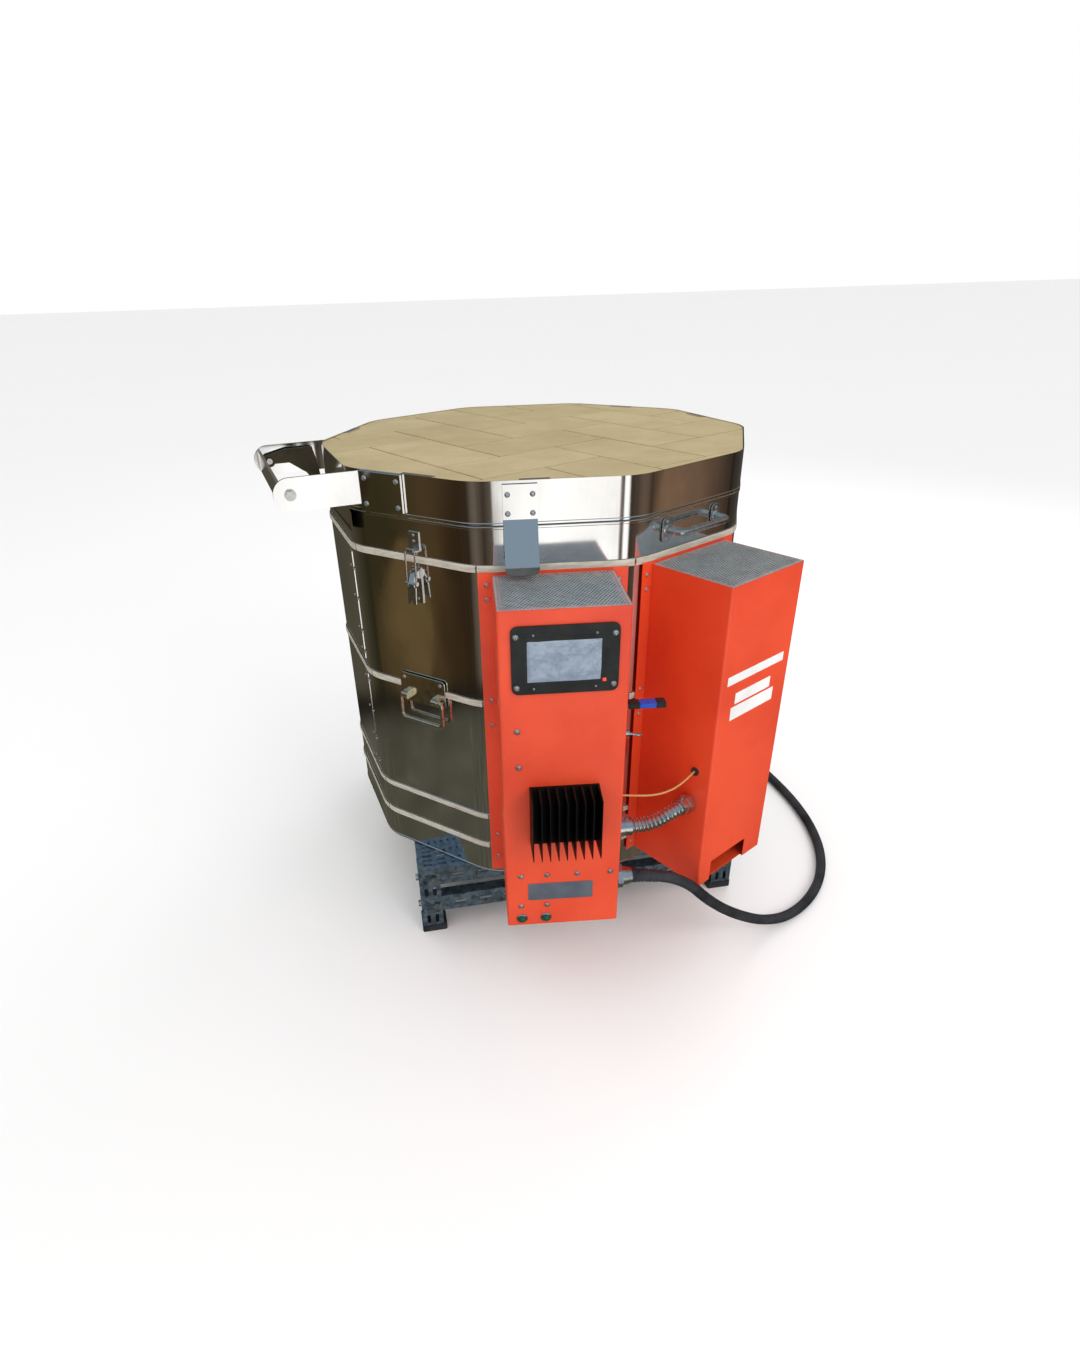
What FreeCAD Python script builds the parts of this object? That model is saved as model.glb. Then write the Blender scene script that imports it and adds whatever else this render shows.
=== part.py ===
"""Electric top-loading kiln: a ten-sided sectional firebrick kiln on an angle-iron stand.

The kiln axis is the working axis while parts are built, and everything is moved at the end so
that the origin is the centre of the kiln's footprint on the floor. Facet angles are the plan
angles of the facets' outward normals; the controller faces -Y.
"""
import FreeCAD, Part
import math
import os

V = FreeCAD.Vector

# ---- driving dimensions, mm
across_flats = 740.0          # outside of the steel jacket
facets = 10
brick_height = 228.6          # 9 inch brick on end
brick_thickness = 63.5        # 2.5 inch brick
stand_top = 155.0
jacket = 0.8                  # stainless sheet
corner_radius = 90.0          # upright corners of the jackets and the brickwork
hem = 1.0                     # how far a rolled hem stands proud
hem_height = 4.0
gap = 0.2                     # air between separate pieces that do not fit each other

# ---- levels, from the floor up
floor_z = stand_top                        # underside of the base slab
ring_d_z = floor_z + brick_thickness
ring_c_z = ring_d_z + brick_thickness
ring_b_z = ring_c_z + brick_height
ring_a_z = ring_b_z + brick_height
lid_z = ring_a_z + brick_thickness
top_z = lid_z + brick_thickness

# ---- plan layout
apothem = across_flats / 2
brick_clearance = 1.6          # fibre paper between the bricks and their jacket
brick_apothem = apothem - jacket - brick_clearance
chamber_apothem = brick_apothem - brick_thickness
half_turn = math.pi / facets
tan_half = math.tan(half_turn)
front = -90.0                 # facet with the controller
front_right = -54.0           # facet with the junction box
front_left = -126.0           # facet with the first latch and lift handle
rear = 54.0                   # facet with the second latch and lift handle
hinge_side = 198.0
strap_facets = (-90.0, 18.0, 126.0)
fitting_facets = {"front": front_left, "rear": rear}

# ---- joint strips between the sections: (level, height)
strip_thickness = 1.2
strips = ((ring_a_z, 11.0), (ring_b_z, 11.0), (ring_c_z, 9.0), (ring_d_z, 11.0))

seam_x = 80.0                 # upright seam of the two tall jackets, on the hinge facet

# ---- heating elements
element_radius = 5.0
groove = 14.0
element_levels = [ring_c_z + brick_height * k for k in (0.18, 0.5, 0.82)]
element_levels += [ring_b_z + brick_height * k for k in (0.18, 0.5, 0.82)]
terminal_radius = 4.0
terminal_spread = 36.0

# ---- stand
stand_half = 317.0
stand_turn = 6.9
stand_centre = (19.0, 2.0)
angle_iron = 40.0
iron = 2.2
foot_height = 14.0
deck_thickness = 2.0
upper_rail_z = (112.0, stand_top - deck_thickness)
lower_rail_z = (46.0, 82.0)

# ---- lid hinge, measured out from the kiln axis along the hinge side
pivot_out = 460.0
pivot_z = 840.0
pivot_radius = 5.0
ear_x = 134.0                 # the bracket's ears stand just inside the arms
ear = 4.0
bracket_z = (770.0, 800.0)
running = 0.05
arm_half_gap = 145.0
arm = 4.8
arm_z = (815.0, 865.0)
arm_tip_radius = 25.0
yoke_end = 472.0              # end wall, set in from the arms' round ends
yoke_wall_z = (pivot_z - 18.0, pivot_z + 18.0)
yoke_plate_x = (30.0, 115.0)  # plates on the next facets, from the shared corner
yoke_plate_z = (808.0, 865.0)
pin_washer = 9.0
pin_head = 13.0

# ---- lifting straps: bent (out, level) profile
strap_x = -52.0
strap_half = 25.0
strap_thickness = 2.4
strap_profile = ((371.4, 862.0), (371.4, 812.0), (383.0, 776.0), (399.0, 748.0))
strap_tip_length = 11.0
strap_tip_corner = 10.0

# ---- controller box on the front facet (x, depth, z)
box_centre = -5.0
box_half = 92.0
box_face = 517.0
box_z = (166.0, 730.0)
sheet = 1.2
back_plane = 372.4
back_flange = 21.0            # how far the back plates reach past the boxes

panel = 3.0
panel_x = (-79.0, 71.0)
panel_z = (605.0, 708.0)
screen_x = (-57.0, 46.0)
screen_z = (624.0, 686.0)
sink_fins = 9
sink_fin = 3.0
sink_depth = 48.0
sink_x = (-57.0, 49.0)
sink_z = (340.0, 446.0)
lamp_x = (-73.0, -33.0)
lamp_z = 181.0

# ---- junction box on the front right facet
side_box_half = 88.0
side_box_face = 522.0
side_box_z = (186.0, 730.0)
side_notch = (-58.0, 38.0, 226.0)

# ---- draw latch, on its facet: (out, z)
latch_x = 8.0
latch_pivot = (378.0, 716.0)
latch_arm = 14.0
latch_arm_angle = -60.0
bail_bar_z = 758.0
latch_wire = 1.5
crank_radius = 1.6

# ---- folding lift handle
lift_pivot = (381.5, 497.0)
lift_half = 40.0
lift_drop = 46.0
lift_wire = 4.0
lift_plate_z = (482.0, 534.0)

# ---- bar handle on the top ring
pull_half = 58.0
pull_out = 399.0
pull_radius = 6.0
pull_z = (ring_a_z + lid_z) / 2 + 5

# ---- toggle switch and memory stick on the controller box's right wall
toggle_y = -495.0
toggle_z = 519.0
toggle_rest_tilt = 12.0
stick_y = -500.0
stick_z = 570.0

# ---- thermocouple lead's grommet in the junction box's left wall: (out, level)
grommet = (491.4, 411.0)

# ---- mains cord
cord_radius = 9.5
cord_floor = cord_radius + 0.3
gland_y = -497.0
gland_z = 243.0
gland_length = 25.0
coil_centre = (462.0, 342.0)
coil_radius = 118.0
coil_steps = 10
coil_step_angle = 28.0

# ---- thermocouple lead and conduit, between the two boxes
lead_radius = 1.6
lead_points = [(88.0, -470.0, 388.0), (118.0, -472.0, 386.0), (150.0, -471.0, 384.0),
               (178.0, -467.0, 390.0), (200.0, -460.0, 402.0), (217.0, -448.5, 411.0)]
conduit_radius = 12.6
conduit_points = [(103.0, -470.0, 324.0), (130.0, -470.0, 324.0), (156.0, -473.5, 335.0),
                  (179.4, -468.2, 346.0), (200.6, -452.8, 346.0)]


# ---- shape helpers
def box(x, y, z):
    return Part.makeBox(x[1] - x[0], y[1] - y[0], z[1] - z[0], V(x[0], y[0], z[0]))


def rod(radius, start, end):
    start, end = V(*start), V(*end)
    return Part.makeCylinder(radius, (end - start).Length, start, end - start)


def hexagon(across, start, end):
    start, end = V(*start), V(*end)
    axis = (end - start).normalize()
    side = axis.cross(V(0, 0, 1)) if abs(axis.z) < 0.9 else V(1, 0, 0)
    side = side.normalize() * (across / math.sqrt(3))
    turn = FreeCAD.Rotation(axis, 60)
    points = [side]
    for _ in range(5):
        points.append(turn.multVec(points[-1]))
    outline = Part.makePolygon([start + p for p in points + points[:1]])
    return Part.Face(outline).extrude((end - start))


def prism(points, vector):
    corners = [V(*p) for p in points]
    return Part.Face(Part.makePolygon(corners + corners[:1])).extrude(V(*vector))


def on_facet(shape, angle):
    """Turns a shape built on the front facet (x across, -y out) to another facet."""
    turned = shape.copy()
    turned.rotate(V(0, 0, 0), V(0, 0, 1), angle - front)
    return turned


def on_stand(shape, quarter=0):
    turned = shape.copy()
    turned.rotate(V(0, 0, 0), V(0, 0, 1), 90.0 * quarter + stand_turn)
    turned.translate(V(*stand_centre, 0))
    return turned


def mirrored(shape):
    return shape.mirror(V(0, 0, 0), V(1, 0, 0))


def fused(shapes):
    whole = shapes[0].fuse(shapes[1:])
    return whole.removeSplitter()


def decagon(flat, z, radius=0.0):
    """A ten-sided prism with an apothem of flat, its upright edges rounded."""
    corner = flat / math.cos(half_turn)
    points = []
    for k in range(facets):
        turn = math.radians(front) + half_turn * (2 * k + 1)
        points.append((corner * math.cos(turn), corner * math.sin(turn), z[0]))
    solid = prism(points, (0, 0, z[1] - z[0]))
    if radius:
        upright = [e for e in solid.Edges if abs(e.tangentAt(e.FirstParameter).z) > 0.9]
        solid = solid.makeFillet(radius, upright)
    return solid


def sheet_ring(inner, outer, z, radius=corner_radius):
    return decagon(outer, z, radius).cut(decagon(inner, z, radius))


def screw(x, out, z, radius=4.0, head=2.4, reach=1.8):
    """A pan-head screw standing on a surface `out` from the axis, on the front facet."""
    head_part = rod(radius, (x, -out, z), (x, -out - head, z))
    face_edges = [e for e in head_part.Edges if e.Closed and e.BoundBox.YMax < -out - head / 2]
    head_part = head_part.makeFillet(head * 0.45, face_edges)
    return head_part.fuse(rod(radius * 0.5, (x, -out, z), (x, -out + reach, z)))


# ---- stand
def slot_cutters(along, z_levels, y):
    """Upright slots through a sheet at y, at each x in along and each level."""
    cutters = []
    for x in along:
        for z in z_levels:
            cutters.append(box((x - 3.5, x + 3.5), (y - 3, y + 3), (z - 7, z + 7)))
            cutters.append(rod(3.5, (x, y - 3, z + 7), (x, y + 3, z + 7)))
            cutters.append(rod(3.5, (x, y - 3, z - 7), (x, y + 3, z - 7)))
    return cutters


def stand_leg():
    """The leg at the stand's front left corner, before it is turned."""
    low, high = foot_height - 9.0, stand_top - deck_thickness - gap
    x, y = -stand_half, -stand_half
    wide = box((x, x + angle_iron), (y, y + iron), (low, high))
    deep = box((x, x + iron), (y, y + angle_iron), (low, high))
    leg = wide.fuse(deep).removeSplitter()
    slots = slot_cutters((x + 12.0, x + 28.0), (30.0, 64.0, 98.0, 130.0), y + iron / 2)
    turned = []
    for slot in slots:
        other = slot.copy()
        other.rotate(V(x, y, 0), V(0, 0, 1), 90)
        turned.append(other.mirror(V(x, y, 0), V(1, 0, 0)))
    return leg.cut(slots + turned)


def stand_rail(z, flange_in):
    """A front rail inside the legs' flanges, with its flat flange at the top."""
    y = -stand_half + iron + gap
    half = stand_half - iron - gap
    web = box((-half, half), (y, y + iron), z)
    flange = box((-half + 3, half - 3), (y, y + flange_in), (z[1] - iron, z[1]))
    deep = flange_in + 6
    mitre = prism([(-half, y, z[1] - 3), (half, y, z[1] - 3), (half - deep, y + deep, z[1] - 3),
                   (-half + deep, y + deep, z[1] - 3)], (0, 0, 6))
    web_mitre = prism([(-half, y, z[0]), (half, y, z[0]), (half - 30, y + 30, z[0]),
                       (-half + 30, y + 30, z[0])], (0, 0, z[1] - z[0]))
    rail = fused([web.common(web_mitre), flange.common(mitre)])
    middle = (z[0] + z[1] - iron) / 2
    along = [k * 48.0 for k in range(-5, 6)]
    cutters = []
    for x in along:
        cutters.append(box((x - 9, x + 9), (y - 3, y + 5), (middle - 3.5, middle + 3.5)))
        cutters.append(rod(3.5, (x - 9, y - 3, middle), (x - 9, y + 5, middle)))
        cutters.append(rod(3.5, (x + 9, y - 3, middle), (x + 9, y + 5, middle)))
    return rail.cut(cutters)


def stand_bolt(x, z):
    y = -stand_half
    head = hexagon(11.0, (x, y - gap, z), (x, y - 5.0, z))
    return head.fuse(rod(3.0, (x, y - gap, z), (x, y + 12.0, z)))


def stand_nodes():
    x = stand_half
    legs = [on_stand(stand_leg(), q) for q in range(4)]
    upper = [on_stand(stand_rail(upper_rail_z, 30.0), q) for q in range(4)]
    lower = [on_stand(stand_rail(lower_rail_z, 24.0), q) for q in range(4)]
    deck_side = stand_half - 0.5
    deck = box((-deck_side, deck_side), (-deck_side, deck_side), (stand_top - deck_thickness, stand_top))
    bolts = []
    for q in range(4):
        for px in (-x + 28.0, x - 12.0):
            for z in (64.0, 130.0):
                bolts.append(on_stand(stand_bolt(px, z), q))
    feet = []
    for q in range(4):
        cup = box((-x - 2, -x + 46), (-x - 2, -x + 46), (0, foot_height))
        upright = [e for e in cup.Edges if abs(e.tangentAt(e.FirstParameter).z) > 0.9]
        cup = cup.makeFillet(4.0, upright)
        low, high = foot_height - 9.0, foot_height + 1.0
        wide = box((-x - gap, -x + angle_iron + gap), (-x - gap, -x + iron + gap), (low, high))
        deep = box((-x - gap, -x + iron + gap), (-x - gap, -x + angle_iron + gap), (low, high))
        feet.append(on_stand(cup.cut([wide, deep]), q))
    bolt_holes = [on_stand(rod(3.2, (px, -x - 2, z), (px, -x + 14, z)), q)
                  for q in range(4) for px in (-x + 28.0, x - 12.0) for z in (64.0, 130.0)]
    return {
        "stand_legs": [leg.cut(bolt_holes) for leg in legs],
        "stand_upper_rails": [rail.cut(bolt_holes) for rail in upper],
        "stand_lower_rails": [rail.cut(bolt_holes) for rail in lower],
        "stand_deck": on_stand(deck),
        "stand_bolts": bolts,
        "stand_feet": feet,
    }


# ---- brickwork and its steel jackets
def brick_ring(z, grooves):
    outer, inner = brick_apothem, chamber_apothem
    z = (z[0] + gap / 2, z[1] - gap / 2)
    wide = outer * tan_half - gap / 2
    narrow = inner * tan_half - gap / 2
    brick = prism([(-wide, -outer, z[0]), (wide, -outer, z[0]),
                   (narrow, -inner, z[0]), (-narrow, -inner, z[0])], (0, 0, z[1] - z[0]))
    cutters = []
    for level in grooves:
        slot_z = (level - groove / 2, level + groove / 2)
        cutters.append(box((-wide, wide), (-inner - groove, -inner + 10), slot_z))
    if cutters:
        brick = brick.cut(cutters)
    brick = brick.common(decagon(outer, z, corner_radius))
    return [on_facet(brick, front + 36.0 * k) for k in range(facets)]


def jacket_ring(z):
    """A sheet band with a rolled hem round its top and bottom edges."""
    low, high = z[0] + 0.8, z[1] - 0.8
    body = decagon(apothem, (low, high), corner_radius)
    for edge in ((low, low + hem_height), (high - hem_height, high)):
        body = body.fuse(decagon(apothem + hem, edge, corner_radius))
    return body.cut(decagon(apothem - jacket, (low, high), corner_radius)).removeSplitter()


def joint_strips():
    parts = []
    for level, height in strips:
        z = (level - height / 2, level + height / 2)
        inner = apothem + hem + gap
        ring = sheet_ring(inner, inner + strip_thickness, z)
        cutters = []
        for k in range(facets):
            slit = box((-1.0, 1.0), (-apothem * 1.2, -apothem * 0.9), z)
            cutters.append(on_facet(slit, front + 18.0 + 36.0 * k))
        parts += ring.cut(cutters).Solids
    return parts


def seam_flap(low, high):
    """Where a tall jacket's two ends overlap."""
    flap = box((seam_x - 9, seam_x + 9), (-apothem - hem, -apothem + jacket / 2), (low + 16, high - 16))
    return on_facet(flap, hinge_side)


def element_ring(level):
    """One element as a plain ring of its coil's outer size, in the bricks' grooves."""
    out = chamber_apothem + groove - element_radius - 1.0
    reach = out * tan_half
    side = rod(element_radius, (-reach * 1.3, -out, level), (reach * 1.3, -out, level))
    low, far = level - 20, 600.0
    wedge = prism([(0, 0, low), (-far * tan_half, -far, low), (far * tan_half, -far, low)], (0, 0, 40))
    side = side.common(wedge)
    return fused([on_facet(side, front + 36.0 * k) for k in range(facets)])


def terminals(radius, reach=(chamber_apothem + groove + 0.3, 396.0)):
    """Element tails through the wall: the front box serves one half, the junction box the other."""
    parts = []
    for k, level in enumerate(element_levels):
        facet = front if k % 2 else front_right
        for x in (-terminal_spread, terminal_spread):
            parts.append(on_facet(rod(radius, (x, -reach[0], level), (x, -reach[1], level)), facet))
    return parts


def probe(radius, reach=(chamber_apothem - 22.0, 400.0)):
    level = (element_levels[3] + element_levels[4]) / 2
    return rod(radius, (-5.0, -reach[0], level), (-5.0, -reach[1], level))


def kiln_nodes():
    tails = terminals(terminal_radius + 0.4, (chamber_apothem - 5, apothem + 10)) + [probe(4.5)]
    bricks_c = [b.cut(tails) for b in brick_ring((ring_c_z, ring_b_z), element_levels[:3])]
    bricks_b = [b.cut(tails) for b in brick_ring((ring_b_z, ring_a_z), element_levels[3:])]
    return {
        "base_slab": decagon(brick_apothem, (floor_z + 1.0, ring_d_z - gap), corner_radius),
        "base_band": jacket_ring((floor_z, ring_d_z)).fuse(
            decagon(apothem - jacket, (floor_z, floor_z + 0.8), corner_radius)).removeSplitter(),
        "bricks_d": brick_ring((ring_d_z, ring_c_z), []),
        "bricks_c": bricks_c,
        "bricks_b": bricks_b,
        "bricks_a": brick_ring((ring_a_z, lid_z - 0.6), []),
        "jacket_d": jacket_ring((ring_d_z, ring_c_z)),
        "jacket_c": jacket_ring((ring_c_z, ring_b_z)).fuse(seam_flap(ring_c_z, ring_b_z)).cut(tails),
        "jacket_b": jacket_ring((ring_b_z, ring_a_z)).fuse(seam_flap(ring_b_z, ring_a_z)).cut(tails),
        "jacket_a": jacket_ring((ring_a_z, lid_z)),
        "joint_strips": joint_strips(),
        "heating_elements": [element_ring(level) for level in element_levels],
        "element_terminals": terminals(terminal_radius),
        "thermocouple_tube": probe(4.0),
    }


# ---- draw latches
def latch_keeper():
    """A strap on the upper section whose foot turns out and up into a lip."""
    x = (latch_x - 10, latch_x + 10)
    out = apothem + gap
    plate = box(x, (-out - 1.8, -out), (752.5, 782.0))
    lip = prism([(latch_x - 6.5, -out, 752.5), (latch_x - 6.5, -out - 14.5, 756.0),
                 (latch_x - 6.5, -out - 14.5, 754.2), (latch_x - 6.5, -out, 750.7)], (13.0, 0, 0))
    return fused([plate, lip])


def latch_base():
    out = apothem + gap
    pin_out, pivot_level = latch_pivot
    plate = box((latch_x - 9, latch_x + 9), (-out - 2.0, -out), (668.0, 726.0))
    ears = []
    for side in (-1, 1):
        x = latch_x + side * 6.2 - 0.8
        far = -pin_out - 2.5
        ears.append(prism([(x, -out - 1.0, pivot_level - 8), (x, -out - 1.0, pivot_level + 8),
                           (x, far, pivot_level + 4), (x, far, pivot_level - 3)], (1.6, 0, 0)))
    pin = rod(2.0, (latch_x - 7.0, -pin_out, pivot_level), (latch_x + 7.0, -pin_out, pivot_level))
    return fused([plate] + ears + [pin])


def latch_crank():
    turn = math.radians(latch_arm_angle)
    return (latch_pivot[0] + latch_arm * math.cos(turn), latch_pivot[1] + latch_arm * math.sin(turn))


def latch_lever():
    """A strap round the pivot pin, through the crank pin and down to a notched tail."""
    out, level = latch_pivot
    crank_out, crank_level = latch_crank()
    x = (latch_x - 4.9, latch_x + 4.9)
    hub = rod(3.9, (x[0], -out, level), (x[1], -out, level))
    low = crank_level - 33
    link = prism([(x[0], -out + 3.0, level + 1.5), (x[0], -out - 3.6, level + 1.5),
                  (x[0], -crank_out - 3.2, crank_level), (x[0], -crank_out - 1.0, crank_level - 4),
                  (x[0], -crank_out + 3.5, crank_level - 2)], (x[1] - x[0], 0, 0))
    edge = x[0] - 3
    tail = prism([(edge, -crank_out + 1.2, crank_level - 1.5), (edge, -crank_out - 1.6, crank_level - 1.5),
                  (edge, -crank_out - 4.0, low), (edge, -crank_out - 2.2, low)], (x[1] - x[0] + 6, 0, 0))
    notch = prism([(latch_x - 5, -crank_out - 8, low - 1), (latch_x + 5, -crank_out - 8, low - 1),
                   (latch_x, -crank_out - 8, low + 7)], (0, 20, 0))
    neck = []
    for side in (-1, 1):
        edge = latch_x + side * 5.0
        far = latch_x + side * 12.0
        neck.append(box((min(edge, far), max(edge, far)), (-crank_out - 6, -crank_out + 6),
                        (crank_level - 6.0, crank_level + 2)))
    crank = rod(crank_radius, (latch_x - 11.5, -crank_out, crank_level),
                (latch_x + 11.5, -crank_out, crank_level))
    lever = fused([hub, link, tail.cut([notch] + neck)])
    lever = lever.cut(rod(2.0 + running, (x[0] - 1, -out, level), (x[1] + 1, -out, level)))
    return fused([lever, crank])


def latch_bail():
    """A wire loop from the crank pin up and over the keeper's lip."""
    crank_out, crank_level = latch_crank()
    half = 9.3
    bar_out = crank_out - latch_wire
    points = [(latch_x - half, -crank_out, crank_level + 1.0), (latch_x - half, -bar_out, bail_bar_z),
              (latch_x + half, -bar_out, bail_bar_z), (latch_x + half, -crank_out, crank_level + 1.0)]
    path, _ = soft_path(points, 4.0)
    eyes = [rod(3.3, (latch_x + side * half - 1.8, -crank_out, crank_level),
                (latch_x + side * half + 1.8, -crank_out, crank_level)) for side in (-1, 1)]
    loop = fused([sweep(path, points, latch_wire)] + eyes)
    hole = rod(crank_radius + running, (latch_x - 14, -crank_out, crank_level),
               (latch_x + 14, -crank_out, crank_level))
    return loop.cut(hole)


# ---- folding lift handles
def lift_plate():
    out, level = lift_pivot
    inner = apothem + hem + strip_thickness + 2 * gap
    plate = box((-47, 47), (-inner - 2.0, -inner), lift_plate_z)
    upright = [e for e in plate.Edges if abs(e.tangentAt(e.FirstParameter).y) > 0.9]
    plate = plate.makeFillet(6.0, upright)
    knuckles = []
    for side in (-1, 1):
        x = side * (lift_half - 9.0)
        knuckle = rod(6.8, (x - 5.5, -out, level), (x + 5.5, -out, level))
        web = box((x - 5.5, x + 5.5), (-out, -inner - 1.0), (level - 6.8, level + 6.8))
        bore = rod(lift_wire + running, (x - 6, -out, level), (x + 6, -out, level))
        knuckles.append(fused([knuckle, web]).cut(bore))
    return fused([plate] + knuckles)


def lift_bail():
    """A D-shaped bail hanging from the plate's knuckles, its ends turned in as pivot pins."""
    out, level = lift_pivot
    side = lift_half + 4.0
    pin_end = lift_half - 15.0
    points = [(-pin_end, -out, level), (-side, -out, level), (-side, -out, level - lift_drop),
              (side, -out, level - lift_drop), (side, -out, level), (pin_end, -out, level)]
    path, _ = soft_path(points, 8.0)
    return sweep(path, points, lift_wire)


def pull_handle():
    """A bar handle on two end plates, for lifting the top ring."""
    out = apothem + hem + gap
    pieces = [rod(pull_radius, (-pull_half, -pull_out, pull_z), (pull_half, -pull_out, pull_z))]
    for x in (-pull_half, pull_half):
        pieces.append(box((x - 11, x + 11), (-out - 2.0, -out), (pull_z - 19, pull_z + 19)))
        pieces.append(rod(pull_radius, (x, -out - 1.0, pull_z), (x, -pull_out, pull_z)))
        pieces.append(Part.makeSphere(pull_radius, V(x, -pull_out, pull_z)))
    return fused(pieces)


def fittings_nodes():
    nodes = {
        "latch_keepers": [on_facet(latch_keeper(), a) for a in fitting_facets.values()],
        "latch_bases": [on_facet(latch_base(), a) for a in fitting_facets.values()],
        "lift_handle_plates": [on_facet(lift_plate(), a) for a in fitting_facets.values()],
        "ring_pull_handle": on_facet(pull_handle(), front_right),
    }
    for name, angle in fitting_facets.items():
        nodes["latch_lever_" + name] = on_facet(latch_lever(), angle)
        nodes["latch_bail_" + name] = on_facet(latch_bail(), angle)
        nodes["lift_bail_" + name] = on_facet(lift_bail(), angle)
    return nodes


# ---- lid and hinge
def lid_band():
    """The band round the lid slab, with a hem below and short lips folded over the brick."""
    low, high = lid_z + 0.8, top_z + 0.4
    band = decagon(apothem, (low, high), corner_radius)
    band = band.fuse(decagon(apothem + hem, (low, low + hem_height), corner_radius))
    band = band.cut(decagon(apothem - jacket, (low, high), corner_radius))
    lips = []
    for angle, x, width in ((-90, -30, 44), (-126, 20, 60), (162, -10, 52), (18, 30, 50), (54, 0, 48)):
        lip = box((x - width / 2, x + width / 2), (-apothem + gap, -apothem + 11), (high - 0.8, high))
        lips.append(on_facet(lip, angle))
    return fused([band] + lips)


def ribbon(points, thickness, x):
    """A bent strap through (out, z) points, thickness laid outwards, between two x values."""
    outer = []
    for k, (out, level) in enumerate(points):
        before = points[max(k - 1, 0)]
        after = points[min(k + 1, len(points) - 1)]
        run = V(after[0] - before[0], after[1] - before[1], 0)
        normal = V(-run.y, run.x, 0).normalize() * thickness
        outer.append((out + normal.x, level + normal.y))
    outline = [(x[0], -out, level) for out, level in list(points) + outer[::-1]]
    return prism(outline, (x[1] - x[0], 0, 0))


def lid_strap(centre):
    """A lifting strap: flat on the lid band, then flaring out below it."""
    x = (centre - strap_half, centre + strap_half)
    return ribbon(strap_profile, strap_thickness, x)


def strap_tip(centre):
    """The dipped plastic end of a lifting strap, rounded at its corners."""
    out, level = strap_profile[-1]
    run = V(out - strap_profile[-2][0], level - strap_profile[-2][1], 0).normalize()
    end = (out + run.x * strap_tip_length, level + run.y * strap_tip_length)
    body = ribbon(((out, level), end), strap_thickness, (centre - strap_half, centre + strap_half))
    ends = [e for e in body.Edges if abs(e.tangentAt(e.FirstParameter).x) < 0.1
            and e.Length < strap_thickness * 1.2 and e.CenterOfMass.z < level - 3]
    return body.makeFillet(strap_tip_corner, ends)


def strap_centres():
    """Across position of each strap: the front one is left of centre, the others mid-facet."""
    return {angle: strap_x if angle == front else 0.0 for angle in strap_facets}


def hinge_yoke():
    """Two flat arms from plates on the lid band, joined by an end wall; built with the hinge at -y."""
    facet = apothem + hem + gap
    corner = apothem * tan_half
    plate = box([x - corner for x in yoke_plate_x], (-facet - 4.0, -facet), yoke_plate_z)
    plate.rotate(V(0, 0, 0), V(0, 0, 1), 360.0 / facets)
    bar = box((arm_half_gap, arm_half_gap + arm), (-pivot_out, -348.0), arm_z)
    tip = rod(arm_tip_radius, (arm_half_gap, -pivot_out, pivot_z), (arm_half_gap + arm, -pivot_out, pivot_z))
    keep_out = decagon(facet, (700.0, 900.0), corner_radius)
    side = fused([plate, bar.cut(keep_out), tip])
    reach = arm_half_gap + arm / 2
    wall = box((-reach, reach), (-yoke_end - arm, -yoke_end), yoke_wall_z)
    whole = fused([side, mirrored(side), wall])
    bore = rod(pivot_radius, (-200, -pivot_out, pivot_z), (200, -pivot_out, pivot_z))
    return whole.cut(bore)


def hinge_pins():
    """A headed pin on each side, through the arm and the ear behind it."""
    def along(x):
        return (side * x, -pivot_out, pivot_z)

    reach = arm_half_gap + arm
    pins = []
    for side in (-1, 1):
        shaft = rod(pivot_radius, along(ear_x - 6.0), along(reach))
        washer = rod(pin_washer, along(reach), along(reach + 1.2))
        head = hexagon(pin_head, along(reach), along(reach + 5.0))
        pins.append(fused([shaft, washer, head]))
    return pins


def hinge_bracket():
    """The fixed half: a plate across the top ring with an ear at each end reaching out to the pivot."""
    inner = apothem + hem + gap
    out = inner + 3.0
    far = ear_x + ear
    plate = box((-far, far), (-out, -inner), bracket_z)
    side_view = [(inner, bracket_z[0] + 6.0), (out + 2.0, bracket_z[0] + 12.0),
                 (pivot_out - 62.0, pivot_z - 26.0), (pivot_out - 34.0, pivot_z - 6.0),
                 (pivot_out, pivot_z - 6.0), (pivot_out, pivot_z + 11.0),
                 (pivot_out - 30.0, pivot_z + 18.0), (pivot_out - 78.0, pivot_z + 18.0),
                 (pivot_out - 84.0, pivot_z - 8.0), (inner + 2.0, bracket_z[1] + 6.0), (inner, bracket_z[1])]
    ears = []
    for x in (ear_x, -far):
        profile = prism([(x, -along, level) for along, level in side_view], (ear, 0, 0))
        end = rod(11.0, (x, -pivot_out, pivot_z), (x + ear, -pivot_out, pivot_z))
        ears.append(fused([profile, end]))
    bore = rod(pivot_radius + running, (-far - 1, -pivot_out, pivot_z), (far + 1, -pivot_out, pivot_z))
    return fused([plate] + ears).cut(bore)


def lid_screws():
    parts = []
    facet = apothem + hem + gap + 4.0
    for x in (-77.0, -14.0):
        for z in (816.0, 855.0):
            near = screw(x, facet, z, reach=5.0)
            near.rotate(V(0, 0, 0), V(0, 0, 1), 36.0)
            parts += [on_facet(near, hinge_side), on_facet(mirrored(near), hinge_side)]
    face = strap_profile[0][0] + strap_thickness
    for angle, centre in strap_centres().items():
        for x in (-18.0, 18.0):
            for z in (821.0, 848.0):
                parts.append(on_facet(screw(centre + x, face, z, reach=3.6), angle))
    return parts


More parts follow.
